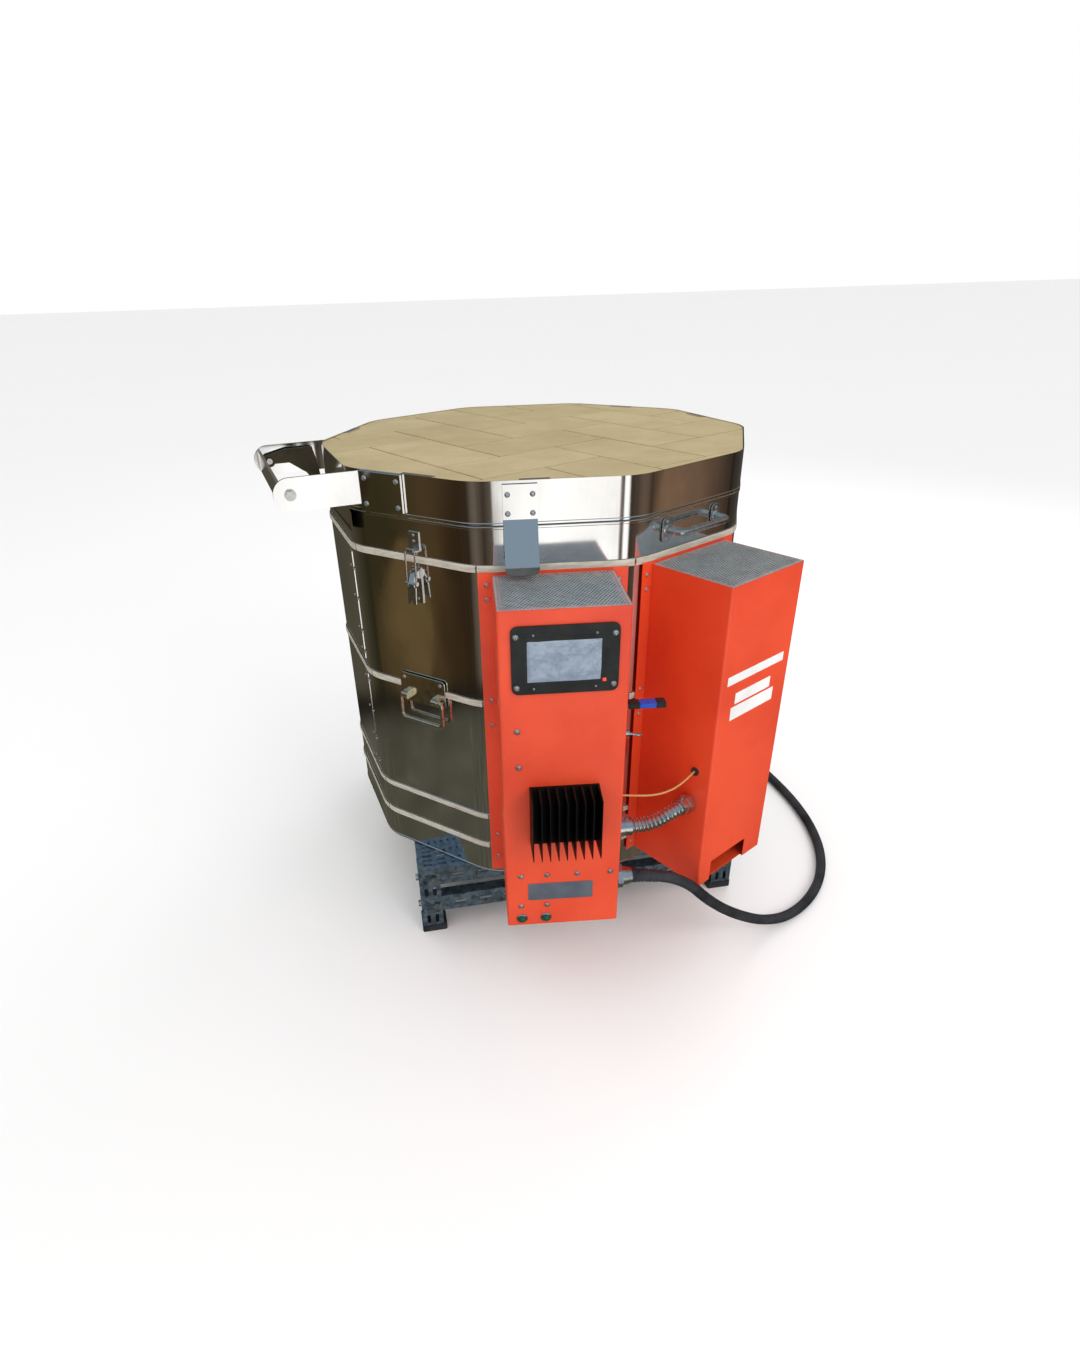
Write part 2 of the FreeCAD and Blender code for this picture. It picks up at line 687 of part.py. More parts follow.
def lid_nodes():
    centres = strap_centres()
    return {
        "lid_slab": decagon(brick_apothem, (lid_z, top_z - 3 * gap), corner_radius),
        "lid_band": lid_band(),
        "lid_straps": [on_facet(lid_strap(c), a) for a, c in centres.items()],
        "lid_strap_tips": [on_facet(strap_tip(c), a) for a, c in centres.items()],
        "hinge_yoke": on_facet(hinge_yoke(), hinge_side),
        "hinge_pins": [on_facet(pin, hinge_side) for pin in hinge_pins()],
        "lid_screws": lid_screws(),
        "hinge_bracket": on_facet(hinge_bracket(), hinge_side),
    }


# ---- electrical boxes
def box_shell(centre, half, face, z):
    """A folded cover: front, two sides and a floor, with a rim round the open top."""
    back = back_plane + sheet + gap
    outer = box((centre - half, centre + half), (-face, -back), z)
    upright = [e for e in outer.Edges
               if abs(e.tangentAt(e.FirstParameter).z) > 0.9 and e.CenterOfMass.y < -face + 1]
    outer = outer.makeFillet(4.0, upright)
    inner = box((centre - half + sheet, centre + half - sheet), (-face + sheet, -back + 1),
                (z[0] + sheet, z[1] - sheet))
    hatch = box((centre - half + 9, centre + half - 9), (-face + 9, -back + 1), (z[1] - 5, z[1] + 5))
    return outer.cut([inner, hatch])


def back_plate(centre, half, z):
    """The plate behind a box, its flanges reaching past the box to the jacket screws."""
    reach = half + back_flange
    plate = box((centre - reach, centre + reach), (-back_plane - sheet, -back_plane), (z[0] + 2, z[1] + 5))
    holes = terminals(9.0, (apothem - 10, back_plane + 20))
    return plate, holes


def back_plates():
    front_plate, holes = back_plate(box_centre, box_half, box_z)
    front_plate = front_plate.cut(holes + [probe(7.0, (apothem - 10, back_plane + 20))])
    side_plate, _ = back_plate(0.0, side_box_half, side_box_z)
    return [front_plate, on_facet(side_plate, front_right).cut(holes)]


def grille(centre, half, face, z):
    """The perforated top sheet under the cover's rim."""
    back = back_plane + sheet + 2 * gap
    plate = box((centre - half + sheet + gap, centre + half - sheet - gap), (-face + sheet + gap, -back),
                (z[1] - sheet - 1.2, z[1] - sheet - gap))
    cutters = []
    for i in range(-2, 3):
        for j in range(3):
            y = -face + 30 + j * 42.0
            x = centre + i * 30.0
            cutters.append(box((x - 11, x + 11), (y - 12, y + 12), (z[1] - 9, z[1] + 5)))
    return plate, cutters


def rounded_plate(x, out, thickness, z, radius):
    plate = box(x, (-out - thickness, -out), z)
    edges = [e for e in plate.Edges if abs(e.tangentAt(e.FirstParameter).y) > 0.9]
    return plate.makeFillet(radius, edges)


def heatsink():
    pieces = [box(sink_x, (-box_face - 4.0, -box_face), sink_z)]
    pitch = (sink_x[1] - sink_x[0] - sink_fin) / (sink_fins - 1)
    for k in range(sink_fins):
        left = sink_x[0] + pitch * k
        pieces.append(box((left, left + sink_fin), (-box_face - sink_depth, -box_face - 3.0), sink_z))
    return fused(pieces)


def pilot_lamps():
    parts = []
    for x in lamp_x:
        bezel = rod(9.5, (x, -box_face, lamp_z), (x, -box_face - 2.5, lamp_z))
        lens = rod(7.0, (x, -box_face - 2.0, lamp_z), (x, -box_face - 7.0, lamp_z))
        body = rod(6.5, (x, -box_face, lamp_z), (x, -box_face + 24.0, lamp_z))
        parts.append(fused([bezel, lens, body]))
    return parts


def box_screws():
    parts = []
    face = box_face
    spots = [(x, 272.0) for x in (-73.0, -31.0, 18.0, 72.0)] + [(-74.0, 208.0), (-31.0, 208.0)]
    spots += [(-73.0, 544.0), (-72.0, 482.0)]
    for x, z in spots:
        parts.append(screw(x, face, z, radius=4.6, head=2.6, reach=3.0))
    for x in (-72.0, 64.0):
        for z in (693.0, 616.0):
            parts.append(screw(x, face + panel, z, radius=4.6, reach=4.0))
    for x in (-48.0, 39.0):
        for z in (694.5, 613.5):
            parts.append(screw(x, face + panel, z, radius=1.9, head=1.2, reach=4.0))
    for x in (box_centre - box_half - 8, box_centre + box_half + 8):
        for z in (716.0, 693.0, 521.0, 474.0, 248.0, 200.0):
            parts.append(screw(x, back_plane + sheet, z, reach=2.6))
    for x in (-side_box_half - 10, side_box_half + 10):
        for z in (716.0, 693.0, 521.0, 474.0, 248.0, 205.0):
            parts.append(on_facet(screw(x, back_plane + sheet, z, reach=2.6), front_right))
    return parts


def jacket_screws():
    parts = []
    for x in (seam_x - 13.0, seam_x + 13.0):
        for z in (694.0, 640.0, 580.0, 540.0, 484.0, 420.0, 360.0, 310.0):
            parts.append(on_facet(screw(x, apothem + hem, z, radius=2.6, reach=2.0), hinge_side))
    for x in (-pull_half, pull_half):
        for z in (pull_z - 12, pull_z + 12):
            parts.append(on_facet(screw(x, apothem + hem + gap + 2.0, z, radius=2.8, reach=2.6), front_right))
    for angle in fitting_facets.values():
        for x in (-38.0, 38.0):
            for z in (490.0, 526.0):
                out = apothem + hem + strip_thickness + 2 * gap + 2.0
                parts.append(on_facet(screw(x, out, z, radius=3.2, reach=4.0), angle))
        for z in (768.0, 777.0):
            parts.append(on_facet(screw(latch_x, apothem + gap + 1.8, z, radius=2.4, reach=2.0), angle))
        low = screw(latch_x, apothem + gap + 2.0, 675.0, radius=2.4, head=1.4, reach=2.0)
        parts.append(on_facet(low, angle))
    for x in (-36.0, 36.0):
        parts.append(on_facet(screw(x, apothem + hem + gap + 3.0, 784.0, radius=4.0, reach=4.0), hinge_side))
    return parts


def label_plates():
    face = [rounded_plate((-62.0, 44.0), box_face, 0.8, (220.0, 255.0), 2.0)]
    side = [rounded_plate((-74.0, 68.0), side_box_face, 0.8, (571.0, 586.0), 2.0),
            rounded_plate((-58.0, 52.0), side_box_face, 0.8, (498.0, 560.0), 2.0)]
    return face + [on_facet(s, front_right) for s in side]


def relays():
    parts = []
    for x in (-60.0, -20.0, 20.0):
        case = box((x, x + 30.0), (-430.0, -400.0), (436.0, 491.0))
        tab = box((x + 8.0, x + 22.0), (-400.0, -back_plane - sheet - 0.4), (428.0, 499.0))
        parts.append(fused([case, tab]))
    return parts


def terminal_block():
    base = box((-66.0, 56.0), (-398.0, -back_plane - sheet - 0.4), (262.0, 292.0))
    posts = [rod(4.0, (-54.0 + 24.0 * k, -398.0, 277.0), (-54.0 + 24.0 * k, -408.0, 277.0)) for k in range(5)]
    return fused([base] + posts)


# ---- toggle switch and memory stick
def toggle_base():
    wall = box_centre + box_half
    nut = hexagon(14.0, (wall, toggle_y, toggle_z), (wall + 2.2, toggle_y, toggle_z))
    neck = rod(5.6, (wall - 8.0, toggle_y, toggle_z), (wall + 8.0, toggle_y, toggle_z))
    case = box((wall - 30.0, wall - sheet - gap), (toggle_y - 10, toggle_y + 14),
               (toggle_z - 14, toggle_z + 14))
    mouth = rod(4.4, (wall - 5.0, toggle_y, toggle_z), (wall + 9.0, toggle_y, toggle_z))
    return fused([nut, neck, case]).cut(mouth)


def toggle_bat():
    """A turned bat on a barrel that rocks inside the neck, tilted down at rest."""
    wall = box_centre + box_half
    barrel = rod(2.8, (0, -2.6, 0), (0, 2.6, 0))
    outline = [(1.0, 0.0), (1.0, 1.7), (20.0, 2.5), (24.5, 3.1), (27.0, 2.2), (28.0, 0.0)]
    corners = [V(along, -out, 0) for along, out in outline]
    stem = Part.Face(Part.makePolygon(corners + corners[:1])).revolve(V(0, 0, 0), V(1, 0, 0), 360)
    bat = barrel.fuse(stem)
    bat.rotate(V(0, 0, 0), V(0, 1, 0), toggle_rest_tilt)
    bat.translate(V(wall + 1.0, toggle_y, toggle_z))
    return bat


def memory_stick():
    wall = box_centre + box_half
    body = box((wall + 3.0, wall + 58.0), (stick_y - 9.0, stick_y + 9.0), (stick_z - 4.2, stick_z + 4.2))
    edges = [e for e in body.Edges if abs(e.tangentAt(e.FirstParameter).x) > 0.9]
    body = body.makeFillet(2.5, edges)
    plug = box((wall - 9.0, wall + 4.0), (stick_y - 6.0, stick_y + 6.0), (stick_z - 2.2, stick_z + 2.2))
    return fused([body, plug])


# ---- cords and conduit
def soft_path(points, bend=None):
    """Straight runs joined by arcs, of radius bend or as large as the two runs allow."""
    corners = [V(*p) for p in points]
    edges, radii = [], []
    start = corners[0]
    for before, here, after in zip(corners, corners[1:], corners[2:]):
        into, out = (here - before), (after - here)
        turn = into.getAngle(out)
        radius = bend or 0.45 * min(into.Length, out.Length) / math.tan(turn / 2)
        setback = radius * math.tan(turn / 2)
        into, out = into.normalize(), out.normalize()
        first, last = here - into * setback, here + out * setback
        bisector = (out - into).normalize()
        middle = here + bisector * (radius / math.cos(turn / 2) - radius)
        edges.append(Part.LineSegment(start, first).toShape())
        edges.append(Part.Arc(first, middle, last).toShape())
        radii.append(radius)
        start = last
    edges.append(Part.LineSegment(start, corners[-1]).toShape())
    return Part.Wire(edges), radii


def sweep(path, points, radius):
    ring = Part.Wire(Part.makeCircle(radius, V(*points[0]), V(*points[1]) - V(*points[0])))
    return path.makePipeShell([ring], True, False)


def tube(name, points, radius):
    path, radii = soft_path(points)
    solid = sweep(path, points, radius)
    expected = math.pi * radius ** 2 * path.Length
    print("%s length %.0f mm, least radius %.0f, radii %s, volume ratio %.4f" % (
        name, path.Length, min(radii), [round(r) for r in radii], solid.Volume / expected))
    return solid


def cord_points():
    """Out of the gland, down to the floor, round the right side and into one turn behind."""
    points = [(112.0, gland_y, gland_z), (165.0, gland_y, 239.0), (214.0, -490.0, 210.0),
              (251.0, -478.0, 162.0), (293.0, -456.0, 113.0), (343.0, -430.0, 65.0), (397.0, -406.0, 26.0),
              (455.0, -384.0, cord_floor), (515.0, -342.0, cord_floor), (566.0, -278.0, cord_floor),
              (600.0, -196.0, cord_floor), (613.0, -108.0, cord_floor), (611.0, -20.0, cord_floor),
              (598.0, 60.0, cord_floor), (580.0, 135.0, cord_floor), (572.0, 205.0, cord_floor)]
    polygon = coil_radius / math.cos(math.radians(coil_step_angle / 2))
    for k in range(coil_steps):
        turn = math.radians(-22.0 + coil_step_angle * k)
        x = coil_centre[0] + polygon * math.cos(turn)
        y = coil_centre[1] + polygon * math.sin(turn)
        points.append((x, y, cord_floor))
    return points


def power_plug(points):
    """A straight-blade plug in line with the cord's last run, lying on the floor."""
    last, before = V(*points[-1]), V(*points[-2])
    run = (last - before).normalize()
    yaw = math.degrees(math.atan2(run.y, run.x))
    shell = box((0, 62), (-27, 27), (-cord_floor + 0.3, 36))
    edges = [e for e in shell.Edges if abs(e.tangentAt(e.FirstParameter).x) < 0.9]
    shell = shell.makeFillet(5.0, edges)
    blades = [box((61, 84), (y - 1.1, y + 1.1), (8, 17)) for y in (-12.0, 12.0)]
    ground = rod(3.0, (61, 0, 24), (86, 0, 24))
    plug = fused([shell] + blades + [ground])
    plug.rotate(V(0, 0, 0), V(0, 0, 1), yaw)
    plug.translate(last)
    return plug


def cord_gland():
    wall = box_centre + box_half
    nut = hexagon(34.0, (wall + gap, gland_y, gland_z), (wall + 9.0, gland_y, gland_z))
    dome = Part.makeCone(16.0, 12.5, gland_length - 9.0, V(wall + 9.0, gland_y, gland_z), V(1, 0, 0))
    neck = rod(11.5, (wall - 12.0, gland_y, gland_z), (wall + 1.0, gland_y, gland_z))
    locknut = hexagon(30.0, (wall - 7.0, gland_y, gland_z), (wall - sheet - gap, gland_y, gland_z))
    return fused([nut, dome, neck, locknut])


def conduit_connector(start, run, x):
    """A squeeze connector whose body runs from the box wall towards the conduit."""
    end = start + run * 26.0
    body = rod(16.5, tuple(start + run * 0.2), tuple(start + run * 12.0))
    clamp = rod(15.2, tuple(start + run * 11.0), tuple(end))
    lug_foot = start + run * 18.0
    lug = rod(3.2, tuple(lug_foot + V(0, 0, 14.0)), tuple(lug_foot + V(0, 0, 23.0)))
    neck = rod(10.0, tuple(start - run * 8.0), tuple(start + run * 1.0))
    return fused([body, clamp, lug, neck]).cut(rod(x, tuple(start + run * 14.0), tuple(end + run * 2.0)))


def conduit_ends():
    """Where the conduit meets the two box walls, and which way it leaves each."""
    wall = box_centre + box_half
    first = V(wall, conduit_points[0][1], conduit_points[0][2])
    turn = math.radians(front_right)
    out = V(math.cos(turn), math.sin(turn), 0)
    across = V(-math.sin(turn), math.cos(turn), 0)
    last = V(*conduit_points[-1])
    reach = last.dot(across) + side_box_half
    foot = last - across * reach
    print("conduit reaches the junction box %.1f out, %.1f short of it" % (foot.dot(out), -reach))
    return first, V(1, 0, 0), foot, -across


def lead_grommet():
    """A rubber ring in the junction box wall, built as if on the front facet."""
    out, level = grommet
    wall = -side_box_half
    ring = fused([rod(7.0, (wall - 2.2, -out, level), (wall - gap, -out, level)),
                  rod(4.8, (wall - 1.0, -out, level), (wall + 3.0, -out, level))])
    bore = rod(lead_radius + gap, (wall - 5, -out, level), (wall + 5, -out, level))
    return on_facet(ring.cut(bore), front_right)


def wiring_nodes():
    cord = cord_points()
    first, first_run, last, last_run = conduit_ends()
    connectors = [conduit_connector(first, first_run, conduit_radius + gap),
                  conduit_connector(last, last_run, conduit_radius + gap)]
    return {
        "conduit": tube("conduit", conduit_points, conduit_radius),
        "conduit_connectors": connectors,
        "thermocouple_lead": tube("thermocouple lead", lead_points, lead_radius),
        "lead_grommet": lead_grommet(),
        "cord_gland": cord_gland(),
        "power_cord": tube("power cord", cord, cord_radius),
        "power_plug": power_plug(cord),
    }


def electrical_nodes():
    wall = box_centre + box_half
    first, first_run, last, last_run = conduit_ends()
    shell = box_shell(box_centre, box_half, box_face, box_z)
    side_shell = on_facet(box_shell(0.0, side_box_half, side_box_face, side_box_z), front_right)
    notch = box(side_notch[:2], (-side_box_face - 5, -side_box_face + 5), (side_box_z[0] - 5, side_notch[2]))
    lead_y, lead_z = lead_points[0][1:]
    shell = shell.cut([
        rod(5.8, (wall - 10, toggle_y, toggle_z), (wall + 10, toggle_y, toggle_z)),
        box((wall - 5, wall + 5), (stick_y - 6.4, stick_y + 6.4), (stick_z - 2.6, stick_z + 2.6)),
        rod(11.8, (wall - 5, gland_y, gland_z), (wall + 5, gland_y, gland_z)),
        rod(10.3, tuple(first - first_run * 5), tuple(first + first_run * 5)),
        rod(2.0, (wall - 5, lead_y, lead_z), (wall + 5, lead_y, lead_z))]
        + [rod(6.8, (x, -box_face - 5, lamp_z), (x, -box_face + 5, lamp_z)) for x in lamp_x])
    side_shell = side_shell.cut([
        on_facet(notch, front_right),
        on_facet(rod(5.0, (-side_box_half - 5, -grommet[0], grommet[1]),
                     (-side_box_half + 5, -grommet[0], grommet[1])), front_right),
        rod(10.3, tuple(last - last_run * 5), tuple(last + last_run * 5))])
    front_grille, front_cuts = grille(box_centre, box_half, box_face, box_z)
    side_grille, side_cuts = grille(0.0, side_box_half, side_box_face, side_box_z)
    return {
        "front_box_shell": shell,
        "side_box_shell": side_shell,
        "box_back_plates": back_plates(),
        "box_grilles": [front_grille.cut(front_cuts), on_facet(side_grille.cut(side_cuts), front_right)],
        "controller_panel": rounded_plate(panel_x, box_face, panel, panel_z, 10.0),
        "touch_screen": rounded_plate(screen_x, box_face + panel, 0.8, screen_z, 2.0),
        "heatsink": heatsink(),
        "label_plates": label_plates(),
        "pilot_lamps": pilot_lamps(),
        "relays": relays(),
        "terminal_block": terminal_block(),
        "toggle_base": toggle_base(),
        "toggle_bat": toggle_bat(),
        "memory_stick": memory_stick(),
        "body_screws": box_screws() + jacket_screws(),
    }


# ---- export
cord_nodes = ("power_cord", "power_plug", "thermocouple_lead")


def as_list(shape):
    return shape if isinstance(shape, list) else [shape]


def export(nodes):
    os.makedirs("parts", exist_ok=True)
    body = Part.makeCompound([s for name, shape in nodes.items() if name not in cord_nodes
                              for s in as_list(shape)])
    bounds = body.BoundBox
    shift = V(-round(bounds.Center.x, 2), -round(bounds.Center.y, 2), 0)
    print("size %.1f x %.1f x %.1f, kiln axis at %.2f, %.2f" % (
        bounds.XLength, bounds.YLength, bounds.ZLength, shift.x, shift.y))
    for name, shape in sorted(nodes.items()):
        solids = [solid for item in as_list(shape) for solid in item.Solids]
        for solid in solids:
            solid.translate(shift)
            if not solid.isValid() or solid.Volume <= 0:
                print("INVALID", name)
        whole = solids[0] if len(solids) == 1 else Part.makeCompound(solids)
        whole.exportStep("parts/%s.step" % name)
    count = sum(len(s.Solids) for n in nodes.values() for s in as_list(n))
    print("%d nodes, %d solids" % (len(nodes), count))


all_nodes = {}
for group in (stand_nodes, kiln_nodes, fittings_nodes, lid_nodes, electrical_nodes, wiring_nodes):
    all_nodes.update(group())
export(all_nodes)
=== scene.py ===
import bpy
import bmesh
import math
import random
from mathutils import Matrix, Vector


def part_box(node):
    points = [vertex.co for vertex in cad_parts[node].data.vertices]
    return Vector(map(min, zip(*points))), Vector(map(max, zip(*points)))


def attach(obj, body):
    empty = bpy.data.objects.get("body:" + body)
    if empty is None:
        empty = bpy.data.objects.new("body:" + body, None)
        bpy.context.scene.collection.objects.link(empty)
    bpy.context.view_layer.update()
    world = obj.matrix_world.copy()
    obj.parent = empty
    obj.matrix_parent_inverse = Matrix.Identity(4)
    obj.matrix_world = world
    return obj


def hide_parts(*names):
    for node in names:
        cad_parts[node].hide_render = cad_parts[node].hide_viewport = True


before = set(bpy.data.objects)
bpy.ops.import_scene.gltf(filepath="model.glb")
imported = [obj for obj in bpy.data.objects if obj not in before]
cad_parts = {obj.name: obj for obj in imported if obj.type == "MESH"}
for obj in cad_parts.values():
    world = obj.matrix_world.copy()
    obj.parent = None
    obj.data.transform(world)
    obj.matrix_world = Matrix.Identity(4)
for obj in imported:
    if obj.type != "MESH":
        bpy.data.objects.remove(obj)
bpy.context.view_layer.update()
scene = bpy.context.scene
kiln = "kiln"

# the kiln axis, from the slab that it stands on
slabLow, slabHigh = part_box("base_slab")
axis = Vector(((slabLow.x + slabHigh.x) / 2, (slabLow.y + slabHigh.y) / 2, 0))
mm = 0.001
frontFacet = -90
rightFacet = -54
leftFacet = -126
rearFacet = 54
hingeFacet = 198
print("frame loaded, kiln axis", tuple(round(v, 4) for v in axis))


# places: x across a facet, out from the axis, z up, all in mm
def onFacet(across, out, up, angle=frontFacet):
    turn = math.radians(angle)
    tangent = Vector((-math.sin(turn), math.cos(turn), 0))
    normal = Vector((math.cos(turn), math.sin(turn), 0))
    return axis + (tangent * across + normal * out + Vector((0, 0, up))) * mm


def facetNormal(angle):
    turn = math.radians(angle)
    return Vector((math.cos(turn), math.sin(turn), 0))


def facetTangent(angle):
    turn = math.radians(angle)
    return Vector((-math.sin(turn), math.cos(turn), 0))


def aim(start, direction):
    # a matrix at start whose z runs along direction
    turn = Vector(direction).to_track_quat("Z", "Y").to_matrix().to_4x4()
    return Matrix.Translation(start) @ turn


# Materials
class Shader:
    # a small bench for one node material
    def __init__(self, name):
        self.material = bpy.data.materials.new(name)
        self.material.use_nodes = True
        self.tree = self.material.node_tree
        self.surface = self.tree.nodes["Principled BSDF"]
        self.place = None

    def node(self, kind, inputs=None, **settings):
        made = self.tree.nodes.new(kind)
        for key, value in settings.items():
            setattr(made, key, value)
        for key, value in (inputs or {}).items():
            self.feed(made.inputs[key], value)
        return made

    def feed(self, socket, value):
        if isinstance(value, bpy.types.NodeSocket):
            self.tree.links.new(value, socket)
        elif isinstance(value, bpy.types.Node):
            self.tree.links.new(value.outputs[0], socket)
        elif hasattr(socket.default_value, "__len__") and not isinstance(value, (int, float)):
            needsAlpha = len(socket.default_value) == 4 and len(value) == 3
            socket.default_value = (*value, 1.0) if needsAlpha else value
        else:
            socket.default_value = value

    def objectPlace(self, scale=(1, 1, 1), turn=(0, 0, 0), move=(0, 0, 0)):
        if self.place is None:
            self.place = self.node("ShaderNodeTexCoord").outputs["Object"]
        mapping = self.node("ShaderNodeMapping", {"Vector": self.place, "Scale": scale, "Rotation": turn,
                                                  "Location": move})
        return mapping.outputs[0]

    def noise(self, scale, detail=3.0, rough=0.55, place=None, distort=0.0):
        return self.node("ShaderNodeTexNoise", {"Vector": place or self.objectPlace(), "Scale": scale,
                                                "Detail": detail,
                                                "Roughness": rough, "Distortion": distort}).outputs["Fac"]

    def cells(self, scale, place=None, feature="F1", output="Distance"):
        return self.node("ShaderNodeTexVoronoi", {"Vector": place or self.objectPlace(), "Scale": scale},
                         feature=feature).outputs[output]

    def ramp(self, value, stops):
        made = self.node("ShaderNodeValToRGB", {"Fac": value})
        bar = made.color_ramp
        while len(bar.elements) < len(stops):
            bar.elements.new(0.5)
        for element, (place, colour) in zip(bar.elements, stops):
            element.position = place
            element.color = (*colour, 1) if isinstance(colour, tuple) else (colour, colour, colour, 1)
        return made.outputs["Color"]

    def span(self, value, low, high, fromLow=0.0, fromHigh=1.0):
        return self.node("ShaderNodeMapRange", {"Value": value, "From Min": fromLow, "From Max": fromHigh,
                                                "To Min": low, "To Max": high}).outputs[0]

    def mix(self, amount, first, second, blend="MIX"):
        made = self.node("ShaderNodeMix", data_type="RGBA", blend_type=blend)
        for socket, value in ((made.inputs["Factor"], amount), (made.inputs[6], first),
                              (made.inputs[7], second)):
            self.feed(socket, value)
        return made.outputs[2]

    def math(self, operation, first, second=0.5):
        return self.node("ShaderNodeMath", {0: first, 1: second}, operation=operation).outputs[0]

    def bump(self, height, strength, distance, under=None):
        inputs = {"Height": height, "Strength": strength, "Distance": distance}
        if under is not None:
            inputs["Normal"] = under
        return self.node("ShaderNodeBump", inputs).outputs[0]

    def finish(self, **sockets):
        for name, value in sockets.items():
            self.feed(self.surface.inputs[name.replace("_", " ")], value)
        return self.material


def mirrorSteel():
    look = {"tint": (0.80, 0.79, 0.77), "warp": 0.10, "smudge": 0.10, "grain": 900}
    s = Shader("mirrorSteel")
    warp = s.noise(5.0, 2.0, place=s.objectPlace((1, 1, 0.45)))
    smudge = s.noise(7.0, 5.0, 0.65)
    grain = s.noise(look["grain"], 2.0, place=s.objectPlace((1, 1, 0.02)))
    rough = s.span(smudge, 0.035, 0.035 + look["smudge"], 0.35, 0.8)
    rough = s.math("ADD", rough, s.span(grain, 0.0, 0.04))
    soot = s.ramp(smudge, [(0.0, (0.86, 0.84, 0.80)), (0.55, look["tint"]), (1.0, (0.66, 0.63, 0.58))])
    normal = s.bump(warp, look["warp"], 0.02)
    normal = s.bump(grain, 0.02, 0.0004, normal)
    return s.finish(Base_Color=soot, Metallic=1.0, Roughness=rough, Normal=normal)


def platedSteel(name="platedSteel", tint=(0.74, 0.74, 0.72), roughness=0.16):
    s = Shader(name)
    wear = s.noise(90.0, 4.0, 0.6)
    scratch = s.noise(1400.0, 2.0, place=s.objectPlace((1, 0.2, 1)))
    colour = s.ramp(wear, [(0.25, tuple(0.75 * t for t in tint)), (0.6, tint)])
    rough = s.span(wear, roughness, roughness + 0.16)
    normal = s.bump(scratch, 0.08, 0.0003)
    return s.finish(Base_Color=colour, Metallic=1.0, Roughness=rough, Normal=normal)


def spangledZinc():
    look = {"light": (0.33, 0.44, 0.55), "dark": (0.13, 0.19, 0.25), "flake": 130.0}
    s = Shader("spangledZinc")
    jitter = s.noise(60.0, 2.0)
    flakes = s.cells(look["flake"], output="Color")
    tone = s.node("ShaderNodeSeparateColor", {"Color": flakes}).outputs["Red"]
    dirt = s.noise(9.0, 6.0, 0.7)
    colour = s.mix(s.span(tone, 0.15, 0.85), look["dark"], look["light"])
    colour = s.mix(s.span(dirt, 0.0, 0.45, 0.45, 0.85), colour, (0.07, 0.07, 0.065))
    rough = s.math("ADD", s.span(tone, 0.26, 0.46), s.span(jitter, -0.05, 0.05))
    return s.finish(Base_Color=colour, Metallic=0.9, Roughness=rough, Normal=s.bump(jitter, 0.12, 0.0006))


def fireBrick(name="fireBrick", light=(0.50, 0.41, 0.23), dark=(0.42, 0.335, 0.18)):
    s = Shader(name)
    clouds = s.noise(11.0, 6.0, 0.62)
    pores = s.cells(620.0)
    speckle = s.noise(420.0, 4.0, 0.7)
    marks = s.noise(38.0, 3.0, 0.5, place=s.objectPlace((1, 2.2, 1)))
    shade = s.node("ShaderNodeAttribute", attribute_name="brickTone").outputs["Fac"]
    colour = s.ramp(clouds, [(0.28, dark), (0.62, light)])
    colour = s.mix(s.span(speckle, 0.0, 0.45, 0.55, 0.8), colour, (0.26, 0.20, 0.11))
    colour = s.mix(s.span(marks, 0.0, 0.25, 0.6, 0.78), colour, (0.62, 0.55, 0.38))
    colour = s.mix(s.span(shade, 0.0, 0.26), colour, (0.33, 0.25, 0.12))
    normal = s.bump(pores, 0.55, 0.0012)
    normal = s.bump(speckle, 0.35, 0.0010, normal)
    return s.finish(Base_Color=colour, Roughness=0.92, Normal=normal)


def orangeCoat():
    look = {"coat": (0.80, 0.072, 0.020), "deep": (0.66, 0.045, 0.012)}
    s = Shader("orangeCoat")
    peel = s.noise(520.0, 2.0)
    cloud = s.noise(5.0, 4.0)
    rub = s.noise(46.0, 5.0, 0.7)
    colour = s.ramp(cloud, [(0.3, look["deep"]), (0.62, look["coat"])])
    colour = s.mix(s.span(rub, 0.0, 0.18, 0.62, 0.82), colour, (0.78, 0.20, 0.10))
    rough = s.span(rub, 0.30, 0.46)
    return s.finish(Base_Color=colour, Roughness=rough, Specular_IOR_Level=0.5, Coat_Weight=0.25,
                    Coat_Roughness=0.22, Normal=s.bump(peel, 0.22, 0.0004))


def jointBand():
    s = Shader("jointBand")
    streak = s.noise(40.0, 4.0, 0.6, place=s.objectPlace((1, 1, 6)))
    speck = s.noise(300.0, 3.0)
    colour = s.ramp(streak, [(0.3, (0.50, 0.46, 0.37)), (0.65, (0.74, 0.70, 0.60))])
    return s.finish(Base_Color=colour, Metallic=0.25, Roughness=s.span(speck, 0.30, 0.48),
                    Normal=s.bump(speck, 0.15, 0.0005))


def mouldedBlack(name="mouldedBlack", tint=(0.010, 0.012, 0.011), low=0.45, high=0.62):
    s = Shader(name)
    grain = s.noise(1100.0, 3.0)
    dust = s.noise(25.0, 5.0, 0.7)
    colour = s.ramp(dust, [(0.35, tint), (0.8, tuple(t * 2.2 + 0.004 for t in tint))])
    return s.finish(Base_Color=colour, Roughness=s.span(dust, low, high),
                    Normal=s.bump(grain, 0.25, 0.0003))


def blackRubber():
    s = Shader("blackRubber")
    ribs = s.noise(700.0, 2.0)
    bloom = s.noise(16.0, 5.0, 0.7)
    colour = s.ramp(bloom, [(0.35, (0.012, 0.013, 0.017)), (0.85, (0.06, 0.063, 0.072))])
    return s.finish(Base_Color=colour, Roughness=s.span(bloom, 0.36, 0.58),
                    Normal=s.bump(ribs, 0.2, 0.0004))


